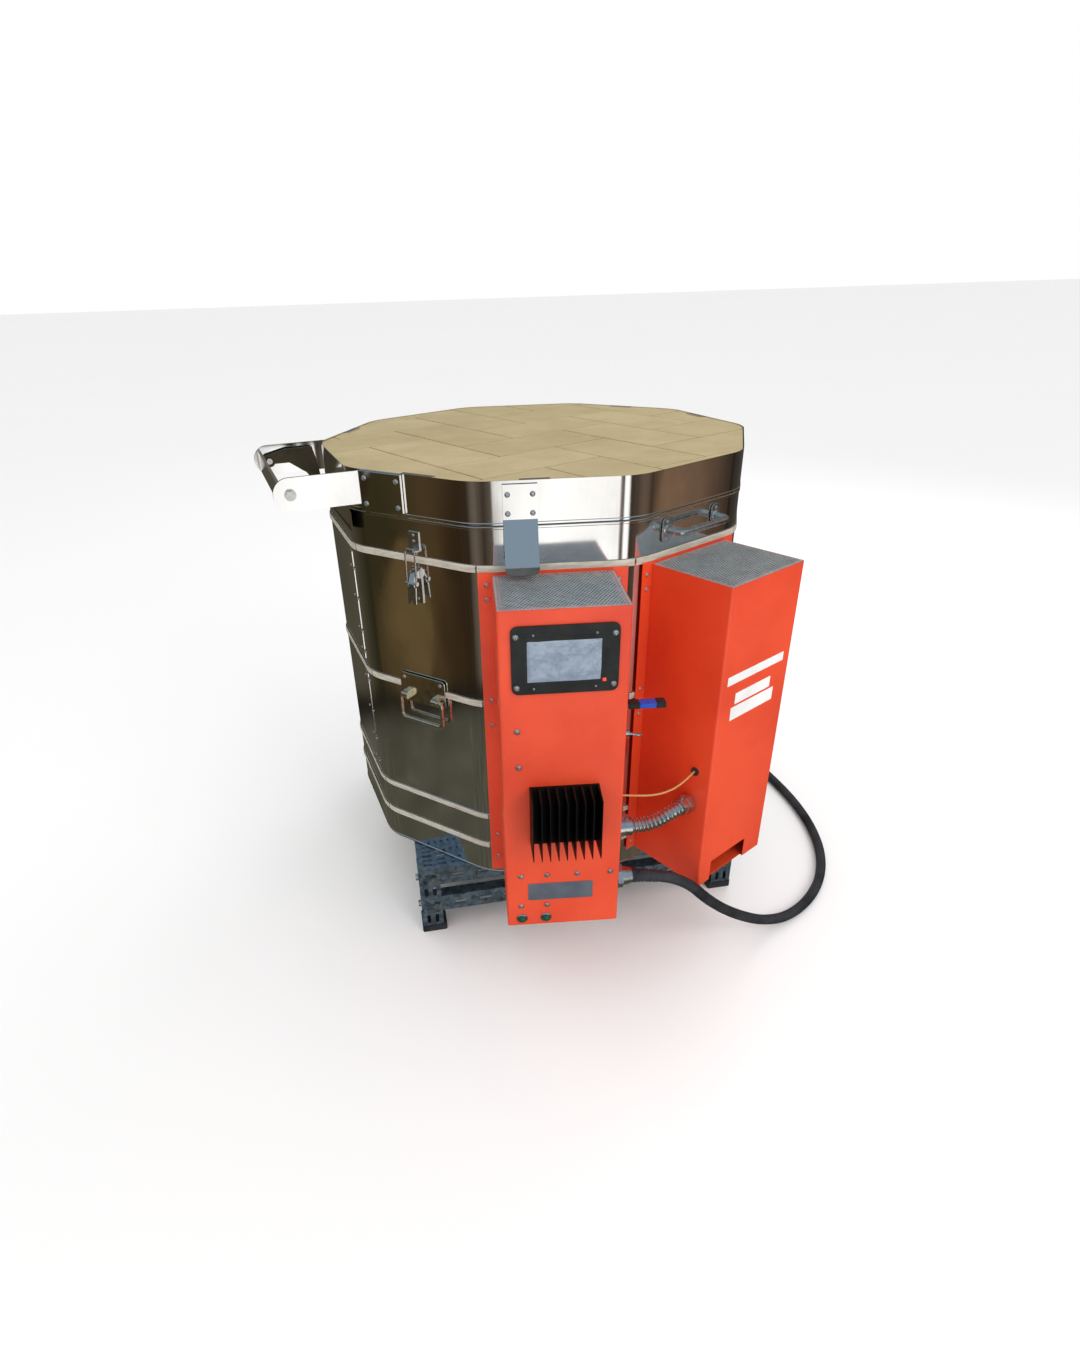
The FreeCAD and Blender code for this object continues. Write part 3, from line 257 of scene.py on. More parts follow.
def anodisedBlack():
    s = Shader("anodisedBlack")
    lines = s.noise(1500.0, 2.0, place=s.objectPlace((1, 1, 0.02)))
    return s.finish(Base_Color=s.ramp(lines, [(0.2, 0.002), (0.9, 0.006)]),
                    Roughness=s.span(lines, 0.4, 0.6), Specular_IOR_Level=0.25,
                    Normal=s.bump(lines, 0.12, 0.0003))


def blankLabel():
    s = Shader("blankLabel")
    brush = s.noise(900.0, 2.0, place=s.objectPlace((0.04, 0.04, 1)))
    stain = s.noise(30.0, 4.0)
    colour = s.ramp(stain, [(0.3, (0.30, 0.35, 0.46)), (0.7, (0.42, 0.48, 0.60))])
    return s.finish(Base_Color=colour, Metallic=0.85, Roughness=s.span(brush, 0.28, 0.44),
                    Normal=s.bump(brush, 0.1, 0.0002))


def paperLabel():
    s = Shader("paperLabel")
    fibre = s.noise(500.0, 4.0)
    crease = s.noise(18.0, 3.0)
    colour = s.ramp(crease, [(0.3, (0.72, 0.72, 0.71)), (0.7, (0.85, 0.85, 0.84))])
    return s.finish(Base_Color=colour, Roughness=s.span(fibre, 0.35, 0.55),
                    Normal=s.bump(crease, 0.2, 0.0008))


def screenFilm():
    s = Shader("screenFilm")
    warp = s.noise(28.0, 2.0, place=s.objectPlace((1, 1, 1.6)))
    folds = s.cells(34.0, feature="DISTANCE_TO_EDGE", place=s.objectPlace((1, 1, 2.0)))
    haze = s.noise(60.0, 5.0, 0.7)
    colour = s.ramp(haze, [(0.3, (0.17, 0.22, 0.29)), (0.7, (0.28, 0.34, 0.42))])
    normal = s.bump(warp, 0.6, 0.004)
    normal = s.bump(s.span(folds, 1.0, 0.0, 0.0, 0.05), 0.25, 0.0008, normal)
    return s.finish(Base_Color=colour, Roughness=0.14, Normal=normal, Coat_Weight=0.6, Coat_Roughness=0.06)


def glowLens(name, tint, strength=0.0):
    s = Shader(name)
    facets = s.cells(900.0)
    return s.finish(Base_Color=s.ramp(facets, [(0.0, tuple(0.6 * t for t in tint)), (0.7, tint)]),
                    Roughness=0.12,
                    Normal=s.bump(facets, 0.3, 0.0004), Emission_Color=tint, Emission_Strength=strength,
                    Coat_Weight=0.8)


def elementWire():
    s = Shader("elementWire")
    scale = s.noise(300.0, 4.0)
    return s.finish(Base_Color=s.ramp(scale, [(0.3, (0.09, 0.075, 0.06)), (0.8, (0.24, 0.21, 0.18))]),
                    Metallic=0.7, Roughness=s.span(scale, 0.45, 0.75), Normal=s.bump(scale, 0.3, 0.0005))


def porcelain():
    s = Shader("porcelain")
    mottle = s.noise(60.0, 3.0)
    return s.finish(Base_Color=s.ramp(mottle, [(0.3, (0.66, 0.63, 0.56)), (0.7, (0.80, 0.78, 0.72))]),
                    Roughness=s.span(mottle, 0.25, 0.5),
                    Coat_Weight=0.3, Normal=s.bump(mottle, 0.1, 0.0005))


def bareCase():
    s = Shader("bareCase")
    mottle = s.noise(120.0, 3.0)
    return s.finish(Base_Color=s.ramp(mottle, [(0.3, (0.55, 0.55, 0.5)), (0.7, (0.72, 0.72, 0.68))]),
                    Roughness=s.span(mottle, 0.25, 0.45), Normal=s.bump(mottle, 0.1, 0.0005))


def stickBlue():
    s = Shader("stickBlue")
    grain = s.noise(400.0, 3.0)
    return s.finish(Base_Color=s.ramp(grain, [(0.3, (0.0, 0.055, 0.36)), (0.7, (0.005, 0.09, 0.52))]),
                    Roughness=s.span(grain, 0.22, 0.38), Normal=s.bump(grain, 0.1, 0.0003), Coat_Weight=0.3)


def braidedSleeve():
    s = Shader("braidedSleeve")
    wave = s.node("ShaderNodeTexWave", {"Vector": s.objectPlace((1, 1, 1), (0.5, 0.8, 0.3)), "Scale": 620.0,
                                        "Distortion": 1.0})
    fuzz = s.noise(900.0, 4.0)
    colour = s.ramp(wave.outputs["Fac"], [(0.2, (0.45, 0.22, 0.06)), (0.8, (0.74, 0.46, 0.18))])
    return s.finish(Base_Color=colour, Roughness=s.span(fuzz, 0.6, 0.85),
                    Normal=s.bump(wave.outputs["Fac"], 0.4, 0.0004))


def perforatedSteel():
    s = Shader("perforatedSteel")
    wear = s.noise(50.0, 5.0, 0.7)
    colour = s.ramp(wear, [(0.3, (0.42, 0.46, 0.48)), (0.75, (0.66, 0.70, 0.72))])
    return s.finish(Base_Color=colour, Metallic=0.6, Roughness=s.span(wear, 0.30, 0.5),
                    Normal=s.bump(wear, 0.1, 0.0005))


def dippedTip():
    return mouldedBlack("dippedTip", (0.050, 0.052, 0.050), 0.5, 0.7)


finishes = {
    "mirror": mirrorSteel(),
    "plated": platedSteel(),
    "screwHead": platedSteel("screwHead", (0.95, 0.95, 0.94), 0.26),
    "darkPlate": platedSteel("darkPlate", (0.11, 0.095, 0.060), 0.30),
    # the plug pins are brass; on the lift handle this warm tint is a painted reflection of brown surroundings
    # on chrome
    "brassAndReflectionTint": platedSteel("warmReflectionTintPlate", (0.84, 0.78, 0.62), 0.05),
    "zinc": spangledZinc(),
    "brick": fireBrick(),
    "orange": orangeCoat(),
    "band": jointBand(),
    "panel": mouldedBlack(),
    "rubber": blackRubber(),
    "anodised": anodisedBlack(),
    "label": blankLabel(),
    "paper": paperLabel(),
    "film": screenFilm(),
    "green": glowLens("greenLens", (0.004, 0.075, 0.045)),
    "red": glowLens("redLens", (0.85, 0.05, 0.02), 0.5),
    "element": elementWire(),
    "porcelain": porcelain(),
    "case": bareCase(),
    "blue": stickBlue(),
    "sleeve": braidedSleeve(),
    "perforated": perforatedSteel(),
    "tip": dippedTip(),
}
print("materials made:", len(finishes))


# Meshes
class Build:
    # gathers solids in one mesh, in metres, each with its own finish
    def __init__(self, name, *finishNames):
        self.name = name
        self.mesh = bmesh.new()
        self.finishNames = finishNames or ("plated",)

    def added(self, geometry, matrix, finish):
        points = [v for v in geometry if isinstance(v, bmesh.types.BMVert)]
        bmesh.ops.transform(self.mesh, matrix=matrix, verts=points)
        for face in {f for v in points for f in v.link_faces}:
            face.material_index = self.finishNames.index(finish) if finish else 0
        return points

    def block(self, low, high, matrix, finish=None):
        low, high = Vector(low) * mm, Vector(high) * mm
        size = high - low
        made = bmesh.ops.create_cube(self.mesh, size=1.0,
                                     matrix=Matrix.Translation((low + high) / 2)
                                     @ Matrix.Diagonal((*size, 1)))
        return self.added(made["verts"], matrix, finish)

    def lathe(self, profile, matrix, finish=None, steps=24):
        # profile: (radius, along) pairs in mm, from one pole to the other
        rings = []
        for radius, along in profile:
            if radius < 1e-6:
                rings.append([self.mesh.verts.new((0, 0, along * mm))])
            else:
                rings.append([self.mesh.verts.new((radius * mm * math.cos(2 * math.pi * k / steps),
                                                   radius * mm * math.sin(2 * math.pi * k / steps),
                                                   along * mm)) for k in range(steps)])
        for first, second in zip(rings, rings[1:]):
            for k in range(steps):
                a, b = first[k % len(first)], first[(k + 1) % len(first)]
                c, d = second[(k + 1) % len(second)], second[k % len(second)]
                corners = []
                for v in (a, b, c, d):
                    if v not in corners:
                        corners.append(v)
                if len(corners) > 2:
                    self.mesh.faces.new(corners)
        return self.added([v for ring in rings for v in ring], matrix, finish)

    def tube(self, points, radius, finish=None, steps=12, closed=False):
        # a round bar along points in metres
        points = [Vector(p) for p in points]
        rings = []
        side = None
        for k, here in enumerate(points):
            before = points[k - 1] if (k or closed) else here
            after = points[(k + 1) % len(points)] if (k < len(points) - 1 or closed) else here
            run = (after - before).normalized()
            if side is None:
                side = run.orthogonal().normalized()
            side = (side - run * side.dot(run)).normalized()
            other = run.cross(side)
            rings.append([self.mesh.verts.new(here + (side * math.cos(2 * math.pi * j / steps)
                                                      + other * math.sin(2 * math.pi * j / steps))
                                              * radius * mm) for j in range(steps)])
        pairs = list(zip(rings, rings[1:])) + ([(rings[-1], rings[0])] if closed else [])
        for first, second in pairs:
            for j in range(steps):
                self.mesh.faces.new((first[j], first[(j + 1) % steps], second[(j + 1) % steps], second[j]))
        if not closed:
            self.mesh.faces.new(rings[0][::-1])
            self.mesh.faces.new(rings[-1])
        return self.added([v for ring in rings for v in ring], Matrix.Identity(4), finish)

    def slab(self, outline, low, high, matrix, finish=None):
        # a flat outline in local x, z pushed out along local y, mm
        count = len(outline)
        near = [self.mesh.verts.new((x * mm, low * mm, z * mm)) for x, z in outline]
        far = [self.mesh.verts.new((x * mm, high * mm, z * mm)) for x, z in outline]
        self.mesh.faces.new(near)
        self.mesh.faces.new(far[::-1])
        for k in range(count):
            self.mesh.faces.new((near[k], far[k], far[(k + 1) % count], near[(k + 1) % count]))
        return self.added(near + far, matrix, finish)

    def done(self, bevel=None, smooth=40, segments=2, subdivide=0):
        bmesh.ops.recalc_face_normals(self.mesh, faces=self.mesh.faces)
        data = bpy.data.meshes.new(self.name)
        self.mesh.to_mesh(data)
        self.mesh.free()
        made = bpy.data.objects.new(self.name, data)
        scene.collection.objects.link(made)
        for finish in self.finishNames:
            data.materials.append(finishes[finish])
        if bevel:
            rounding = made.modifiers.new("edges", "BEVEL")
            rounding.width = bevel * mm
            rounding.segments = segments
            rounding.limit_method = "ANGLE"
            rounding.angle_limit = math.radians(35)
        if subdivide:
            soft = made.modifiers.new("soft", "SUBSURF")
            soft.levels = soft.render_levels = subdivide
        data.shade_smooth()
        data.set_sharp_from_angle(angle=math.radians(smooth))
        return made


def place(made, body, slot, *nodes):
    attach(made, body)
    if nodes:
        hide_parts(*nodes)
    return made


def dress(finish, *nodes):
    for name in nodes:
        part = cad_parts[name]
        part.data.materials.clear()
        part.data.materials.append(finishes[finish])


# One tree that sets a copy of a small shape at every point of a layout
def repeatTree(name, finish, unit):
    tree = bpy.data.node_groups.new(name, "GeometryNodeTree")
    tree.interface.new_socket("Layout", in_out="INPUT", socket_type="NodeSocketGeometry")
    tree.interface.new_socket("Size", in_out="INPUT", socket_type="NodeSocketFloat").default_value = 1.0
    tree.interface.new_socket("Twist", in_out="INPUT", socket_type="NodeSocketFloat").default_value = 3.14
    tree.interface.new_socket("Seed", in_out="INPUT", socket_type="NodeSocketInt").default_value = 3
    tree.interface.new_socket("Geometry", in_out="OUTPUT", socket_type="NodeSocketGeometry")
    nodes, links = tree.nodes, tree.links
    start = nodes.new("NodeGroupInput")
    end = nodes.new("NodeGroupOutput")
    facing = nodes.new("GeometryNodeInputNamedAttribute")
    facing.data_type = "FLOAT_VECTOR"
    facing.inputs["Name"].default_value = "facing"
    spin = nodes.new("FunctionNodeRandomValue")
    spin.data_type = "FLOAT"
    links.new(start.outputs["Twist"], spin.inputs["Max"])
    links.new(start.outputs["Seed"], spin.inputs["Seed"])
    align = nodes.new("FunctionNodeAlignRotationToVector")
    align.axis = "Z"
    links.new(facing.outputs["Attribute"], align.inputs["Vector"])
    turned = nodes.new("FunctionNodeRotateRotation")
    turned.rotation_space = "LOCAL"
    euler = nodes.new("FunctionNodeEulerToRotation")
    angles = nodes.new("ShaderNodeCombineXYZ")
    links.new(spin.outputs["Value"], angles.inputs["Z"])
    links.new(angles.outputs[0], euler.inputs[0])
    links.new(align.outputs[0], turned.inputs["Rotation"])
    links.new(euler.outputs[0], turned.inputs["Rotate By"])
    shape = nodes.new("GeometryNodeObjectInfo")
    shape.inputs["Object"].default_value = unit
    spread = nodes.new("GeometryNodeInstanceOnPoints")
    links.new(start.outputs["Layout"], spread.inputs["Points"])
    links.new(shape.outputs["Geometry"], spread.inputs["Instance"])
    links.new(turned.outputs[0], spread.inputs["Rotation"])
    links.new(start.outputs["Size"], spread.inputs["Scale"])
    real = nodes.new("GeometryNodeRealizeInstances")
    coat = nodes.new("GeometryNodeSetMaterial")
    coat.inputs["Material"].default_value = finishes[finish]
    links.new(spread.outputs[0], real.inputs[0])
    links.new(real.outputs[0], coat.inputs[0])
    links.new(coat.outputs[0], end.inputs[0])
    return tree


def plainMesh(holder, name, finish):
    graph = bpy.context.evaluated_depsgraph_get()
    result = bpy.data.meshes.new_from_object(holder.evaluated_get(graph), depsgraph=graph)
    result.name = name
    made = bpy.data.objects.new(name, result)
    scene.collection.objects.link(made)
    bpy.data.objects.remove(holder)
    if not result.materials:
        result.materials.append(finishes[finish])
    return made


# Cords and conduit: route points in mm from the kiln axis
cordLook = {"radius": 9.5, "floor": 9.8, "coilCentre": (462.0, 342.0), "coilRadius": 118.0, "steps": 10,
            "stepAngle": 28.0}


def fromAxis(x, y, z):
    return axis + Vector((x, y, z)) * mm


def cordRoute():
    low = cordLook["floor"]
    route = [(112, -497, 243), (165, -497, 239), (214, -490, 210), (251, -478, 162), (293, -456, 113),
             (343, -430, 65),
             (397, -406, 26), (455, -384, low), (515, -342, low), (566, -278, low), (600, -196, low),
             (613, -108, low), (611, -20, low), (598, 60, low), (580, 135, low), (572, 205, low)]
    middle = cordLook["coilCentre"]
    reach = cordLook["coilRadius"] / math.cos(math.radians(cordLook["stepAngle"] / 2))
    for k in range(cordLook["steps"]):
        turn = math.radians(-22 + cordLook["stepAngle"] * k)
        route.append((middle[0] + reach * math.cos(turn), middle[1] + reach * math.sin(turn), low))
    return [fromAxis(*p) for p in route]


def splineThrough(name, route, radius, finish):
    data = bpy.data.curves.new(name, "CURVE")
    data.dimensions = "3D"
    data.resolution_u = 10
    data.bevel_depth = radius * mm
    data.bevel_resolution = 5
    data.use_fill_caps = True
    spline = data.splines.new("NURBS")
    spline.points.add(len(route) - 1)
    for point, where in zip(spline.points, route):
        point.co = (*where, 1.0)
    spline.order_u = 3
    spline.use_endpoint_u = True
    made = bpy.data.objects.new(name, data)
    scene.collection.objects.link(made)
    data.materials.append(finishes[finish])
    return made


def alongRoute(route, detail=14):
    # the smooth line of a route, as points
    line = splineThrough("guide", route, 0.0, "rubber")
    line.data.resolution_u = detail
    graph = bpy.context.evaluated_depsgraph_get()
    mesh = bpy.data.meshes.new_from_object(line.evaluated_get(graph), depsgraph=graph)
    points = [v.co.copy() for v in mesh.vertices]
    bpy.data.objects.remove(line)
    bpy.data.meshes.remove(mesh)
    return points


def lengthOf(points):
    return sum((b - a).length for a, b in zip(points, points[1:]))


def walk(points, distance):
    # the place and direction at a distance along a line
    for a, b in zip(points, points[1:]):
        step = (b - a).length
        if distance <= step:
            return a.lerp(b, distance / step), (b - a).normalized()
        distance -= step
    return points[-1], (points[-1] - points[-2]).normalized()


route = cordRoute()
cordLine = alongRoute(route)
powerCord = splineThrough("powerCord", route, cordLook["radius"], "rubber")
powerCordLength = lengthOf(cordLine)
print("power cord", round(powerCordLength, 3), "m")


def ribbedSleeve(name, line, start, profile, finish, steps=28):
    # profile: (distance along, radius) in mm round a line
    build = Build(name, finish)
    rings = []
    side = None
    for distance, radius in profile:
        here, run = walk(line, start + distance * mm)
        side = side or run.orthogonal().normalized()
        side = (side - run * side.dot(run)).normalized()
        other = run.cross(side)
        rings.append([build.mesh.verts.new(here + (side * math.cos(2 * math.pi * j / steps)
                                                   + other * math.sin(2 * math.pi * j / steps))
                                           * radius * mm) for j in range(steps)])
    for first, second in zip(rings, rings[1:]):
        for j in range(steps):
            build.mesh.faces.new((first[j], first[(j + 1) % steps], second[(j + 1) % steps], second[j]))
    build.mesh.faces.new(rings[0][::-1])
    build.mesh.faces.new(rings[-1])
    for v in build.mesh.verts:
        v.co.z = max(v.co.z, 0.4 * mm)     # lies on the floor, not in it
    return build.done(smooth=50)


def reliefProfile(length, wide, narrow, ribs):
    # a cone with shallow rings cut round it
    profile = []
    for k in range(ribs * 4 + 1):
        share = k / (ribs * 4)
        groove = 0.9 if k % 4 in (2, 3) and 0.1 < share < 0.95 else 0.0
        profile.append((share * length, wide + (narrow - wide) * share - groove))
    return profile


strainRelief = ribbedSleeve("strainRelief", cordLine, 0.0, reliefProfile(44.0, 12.3, 10.3, 7), "rubber")


def makePlug():
    look = {"length": 58.0, "half": 24.0, "high": 34.0, "ribs": 5}
    build = Build("powerPlug", "rubber", "brassAndReflectionTint")
    end, run = cordLine[-1], (cordLine[-1] - cordLine[-2]).normalized()
    side = Vector((-run.y, run.x, 0))
    turn = Matrix(((run.x, side.x, 0, end.x), (run.y, side.y, 0, end.y), (0, 0, 1, end.z), (0, 0, 0, 1)))
    low = -cordLook["floor"] + 0.6
    rings = []
    for along, half, top in ((1, 11, 22), (5, 15, 25), (16, 21, 31), (30, look["half"], look["high"]),
                             (52, 26, 35.2), (60, 26, 35.2), (61.5, 24, 33.5)):
        ring = []
        for j in range(28):
            angle = 2 * math.pi * j / 28
            c, s = math.cos(angle), math.sin(angle)
            y = half * math.copysign(abs(c) ** 0.55, c)
            middle = (low + top) / 2
            z = middle + (top - low) / 2 * math.copysign(abs(s) ** 0.55, s)
            ring.append(build.mesh.verts.new(Vector((along, y, z)) * mm))
        rings.append(ring)
    for first, second in zip(rings, rings[1:]):
        for j in range(28):
            build.mesh.faces.new((first[j], first[(j + 1) % 28], second[(j + 1) % 28], second[j]))
    build.mesh.faces.new(rings[0][::-1])
    build.mesh.faces.new(rings[-1])
    build.added([v for ring in rings for v in ring], turn, "rubber")
    for k in range(look["ribs"]):
        for way in (-1, 1):
            build.block((20 + k * 6, way * 21 - 3.2, 4), (22.5 + k * 6, way * 21 + 3.2, 22), turn, "rubber")
    for y in (-12.0, 12.0):
        build.block((60, y - 1.0, 8), (84, y + 1.0, 17), turn, "brassAndReflectionTint")
    build.lathe([(0, 0), (2.9, 0), (2.9, 20), (2.0, 24), (0, 25)],
                turn @ Matrix.Translation(Vector((60, 0, 24)) * mm)
                @ Matrix.Rotation(math.radians(90), 4, "Y"), "brassAndReflectionTint")
    return build.done(bevel=0.5)


powerPlug = makePlug()
plugRelief = ribbedSleeve("plugRelief", cordLine, powerCordLength - 0.040,
                          [(d, 21.2 - r) for d, r in reliefProfile(40.0, 11.0, 8.6, 6)], "rubber")
for piece in (powerPlug, plugRelief, strainRelief):
    place(piece, kiln, "rubber")
place(powerCord, kiln, "rubber", "power_cord")
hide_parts("power_plug")

leadRoute = [fromAxis(*p) for p in ((88, -470, 388), (118, -472, 386), (150, -471, 384), (178, -467, 390),
                                    (200, -460, 402), (217, -448.5, 411))]
leadLine = alongRoute(leadRoute)
sensorLead = splineThrough("sensorLead", leadRoute, 1.6, "sleeve")
place(sensorLead, kiln, "lead_sleeve", "thermocouple_lead")


def makeConduit():
    look = {"radius": 12.5, "pitch": 6.4, "depth": 1.7, "steps": 8}
    line = alongRoute([fromAxis(*p) for p in ((103, -470, 324), (130, -470, 324), (156, -473.5, 335),
                                              (179.4, -468.2, 346), (200.6, -452.8, 346))], 24)
    total = lengthOf(line) / mm
    count = int(total / look["pitch"]) * look["steps"]
    profile = []
    for k in range(count + 1):
        wave = (k % look["steps"]) / look["steps"]
        lift = look["depth"] * math.sqrt(max(0.0, math.sin(math.pi * wave))) if wave < 0.8 else 0.0
        profile.append((total * k / count, look["radius"] - look["depth"] + lift))
    return ribbedSleeve("flexConduit", line, 0.0, profile, "plated", 24)


place(makeConduit(), kiln, "conduit_metal", "conduit")
print("cords and conduit made")


# Polished sheet rings round the ten sides
body = {"apothem": 370.0, "corner": 90.0, "sheet": 0.8, "hem": 1.0, "hemHeight": 4.0, "arcSteps": 12}
ringHeight = 228.6      # a 9 inch brick on end
slabHeight = 63.5       # a 2.5 inch brick
levels = {"base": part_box("stand_deck")[1].z / mm}     # the top of the deck
for below, above, height in (("base", "ringD", slabHeight), ("ringD", "ringC", slabHeight),
                             ("ringC", "ringB", ringHeight), ("ringB", "ringA", ringHeight),
                             ("ringA", "lid", slabHeight), ("lid", "top", slabHeight)):
    levels[above] = levels[below] + height


def outlinePoint(offset, degrees, corner):
    # a place on corner's arc, degrees from its middle, offset out from the sheet
    middle = math.radians(frontFacet + 18 + 36 * corner)
    centre = (body["apothem"] - body["corner"]) / math.cos(math.radians(18))
    turn = middle + math.radians(degrees)
    reach = body["corner"] + offset
    return (centre * math.cos(middle) + reach * math.cos(turn),
            centre * math.sin(middle) + reach * math.sin(turn))


def roundOutline(offset):
    steps = body["arcSteps"]
    return [outlinePoint(offset, -18 + 36 * j / steps, corner)
            for corner in range(10) for j in range(steps + 1)]


def sweptRing(build, profile, finish):
    # a closed (offset, z) profile carried round the outline
    loops = []
    for offset, z in profile:
        loops.append([build.mesh.verts.new(axis + Vector((x, y, z)) * mm) for x, y in roundOutline(offset)])
    for first, second in zip(loops, loops[1:] + loops[:1]):
        for j in range(len(first)):
            build.mesh.faces.new((first[j], first[(j + 1) % len(first)], second[(j + 1) % len(first)],
                                  second[j]))
    build.added([v for loop in loops for v in loop], Matrix.Identity(4), finish)


def hemmedProfile(low, high, hems=(True, True)):
    # flat sheet with a round bead rolled along its edges
    inner = -body["sheet"]
    bead, half = body["hem"], body["hemHeight"] / 2
    profile = [(inner, low)]
    if hems[0]:
        profile += [(bead * 0.25, low), (bead * 0.9, low + half * 0.35), (bead, low + half),
                    (bead * 0.9, low + half * 1.6), (bead * 0.2, low + half * 2), (0.0, low + half * 2.1)]
    else:
        profile += [(0.0, low)]
    if hems[1]:
        profile += [(0.0, high - half * 2.1), (bead * 0.2, high - half * 2),
                    (bead * 0.9, high - half * 1.6), (bead, high - half), (bead * 0.9, high - half * 0.35),
                    (bead * 0.25, high)]
    else:
        profile += [(0.0, high)]
    return profile + [(inner, high)]


def sheetRing(name, low, high, node, slot="stainless", owner=kiln, hems=(True, True), extra=None):
    build = Build(name, "mirror")
    sweptRing(build, hemmedProfile(low + 0.8, high - 0.8, hems), "mirror")
    if extra:
        extra(build)
    return place(build.done(smooth=28), owner, slot, node)


def seamFlap(low, high):
    def add(build):
        build.block((71.0, -371.0, low + 16), (89.0, -369.6, high - 16), facetTurn(hingeFacet), "mirror")
    return add


def facetTurn(angle):
    # carries shapes built as on the front facet (x across, -y out, mm) to another facet
    return Matrix.Translation(axis) @ Matrix.Rotation(math.radians(angle - frontFacet), 4, "Z")


sheetRing("jacketA", levels["ringA"], levels["lid"], "jacket_a")
sheetRing("jacketB", levels["ringB"], levels["ringA"], "jacket_b",
          extra=seamFlap(levels["ringB"], levels["ringA"]))
sheetRing("jacketC", levels["ringC"], levels["ringB"], "jacket_c",
          extra=seamFlap(levels["ringC"], levels["ringB"]))
sheetRing("jacketD", levels["ringD"], levels["ringC"], "jacket_d")
sheetRing("baseBand", levels["base"], levels["ringD"], "base_band")


def lidLips(build):
    for angle, x, width in ((-90, -30, 44), (-126, 20, 60), (162, -10, 52), (18, 30, 50), (54, 0, 48)):
        build.block((x - width / 2, -369.8, levels["top"] - 0.4),
                    (x + width / 2, -359.0, levels["top"] + 0.4), facetTurn(angle), "mirror")


sheetRing("lidBand", levels["lid"], levels["top"] + 1.2, "lid_band", owner="lid", hems=(True, False),
          extra=lidLips)


def jointStrips():
    look = {"inner": 1.25, "thick": 1.15, "gapAngle": 0.9}
    build = Build("jointStrips", "band")
    steps = body["arcSteps"]
    for level, height in ((levels["ringA"], 11.0), (levels["ringB"], 11.0), (levels["ringC"], 9.0),
                          (levels["ringD"], 11.0)):
        crown = min(2.0, height / 5)
        profile = [(look["inner"], level - height / 2),
                   (look["inner"] + look["thick"] * 0.5, level - height / 2),
                   (look["inner"] + look["thick"], level - height / 2 + crown),
                   (look["inner"] + look["thick"], level + height / 2 - crown),
                   (look["inner"] + look["thick"] * 0.5, level + height / 2),
                   (look["inner"], level + height / 2)]
        for corner in range(10):
            loops = []
            for offset, z in profile:
                half = [(corner, look["gapAngle"] + (18 - look["gapAngle"]) * j / steps)
                        for j in range(steps + 1)]
                half += [(corner + 1, -18 + (18 - look["gapAngle"]) * j / steps) for j in range(steps + 1)]
                loops.append([build.mesh.verts.new(axis + Vector((*outlinePoint(offset, turn, where), z)) * mm)
                              for where, turn in half])
            for first, second in zip(loops, loops[1:] + loops[:1]):
                for j in range(len(first) - 1):
                    build.mesh.faces.new((first[j], first[j + 1], second[j + 1], second[j]))
            build.mesh.faces.new([loop[0] for loop in loops])
            build.mesh.faces.new([loop[-1] for loop in loops][::-1])
    return build.done(smooth=35)


place(jointStrips(), kiln, "gasket_band", "joint_strips")
print("sheet rings made")


# Herringbone lid
def clipped(outline, border):
    # the part of one convex outline inside another, both counter-clockwise
    for (ax, ay), (bx, by) in zip(border, border[1:] + border[:1]):
        kept = []
        for (px, py), (qx, qy) in zip(outline, outline[1:] + outline[:1]):
            inP = (bx - ax) * (py - ay) - (by - ay) * (px - ax)
            inQ = (bx - ax) * (qy - ay) - (by - ay) * (qx - ax)
            if inP >= 0:
                kept.append((px, py))
            if inP * inQ < 0:
                share = inP / (inP - inQ)
                kept.append((px + (qx - px) * share, py + (qy - py) * share))
        outline = kept
        if len(outline) < 3:
            return []
    return outline


def shareOf(outline):
    return 0.5 * abs(sum(a[0] * b[1] - b[0] * a[1] for a, b in zip(outline, outline[1:] + outline[:1])))


def lidBricks():
    look = {"width": 114.3, "turn": 33.5, "start": (-164.6, -120.1), "joint": 1.5, "border": -1.8}
    random.seed(7)
    build = Build("lidBricks", "brick")
    tone = build.mesh.verts.layers.float.new("brickTone")
    border = roundOutline(look["border"])
    turn = math.radians(look["turn"])
    w = look["width"]
    for m in range(-5, 6):
        for n in range(-5, 6):
            ox, oy = m + 2 * n, m - 2 * n
            for x0, y0, x1, y1 in ((ox, oy, ox + 2, oy + 1), (ox + 2, oy - 1, ox + 3, oy + 1)):
                corners = []
                for u, v in ((x0, y0), (x1, y0), (x1, y1), (x0, y1)):
                    middleX, middleY = (x0 + x1) / 2, (y0 + y1) / 2
                    px = look["start"][0] + u * w - math.copysign(look["joint"], u - middleX)
                    py = look["start"][1] + v * w - math.copysign(look["joint"], v - middleY)
                    corners.append((px * math.cos(turn) - py * math.sin(turn),
                                    px * math.sin(turn) + py * math.cos(turn)))
                piece = clipped(corners, border)
                if len(piece) < 3 or shareOf(piece) < 60:
                    continue
                tidy = []
                for p in piece:
                    if not tidy or math.dist(p, tidy[-1]) > 0.6:
                        tidy.append(p)
                if math.dist(tidy[0], tidy[-1]) < 0.6:
                    tidy.pop()
                if len(tidy) < 3:
                    continue
                shade = random.random()
                drop = random.random() * 0.35
                bottom = [build.mesh.verts.new(axis + Vector((x, y, levels["lid"] + 0.1)) * mm)
                          for x, y in tidy]
                top = [build.mesh.verts.new(axis + Vector((x, y, levels["top"] - 0.65 - drop)) * mm)
                       for x, y in tidy]
                for v in bottom + top:
                    v[tone] = shade
                build.mesh.faces.new(top)
                build.mesh.faces.new(bottom[::-1])
                for k in range(len(tidy)):
                    build.mesh.faces.new((bottom[k], bottom[(k + 1) % len(tidy)], top[(k + 1) % len(tidy)],
                                          top[k]))
    return build.done(bevel=0.5, segments=2)


place(lidBricks(), "lid", "firebrick", "lid_slab")


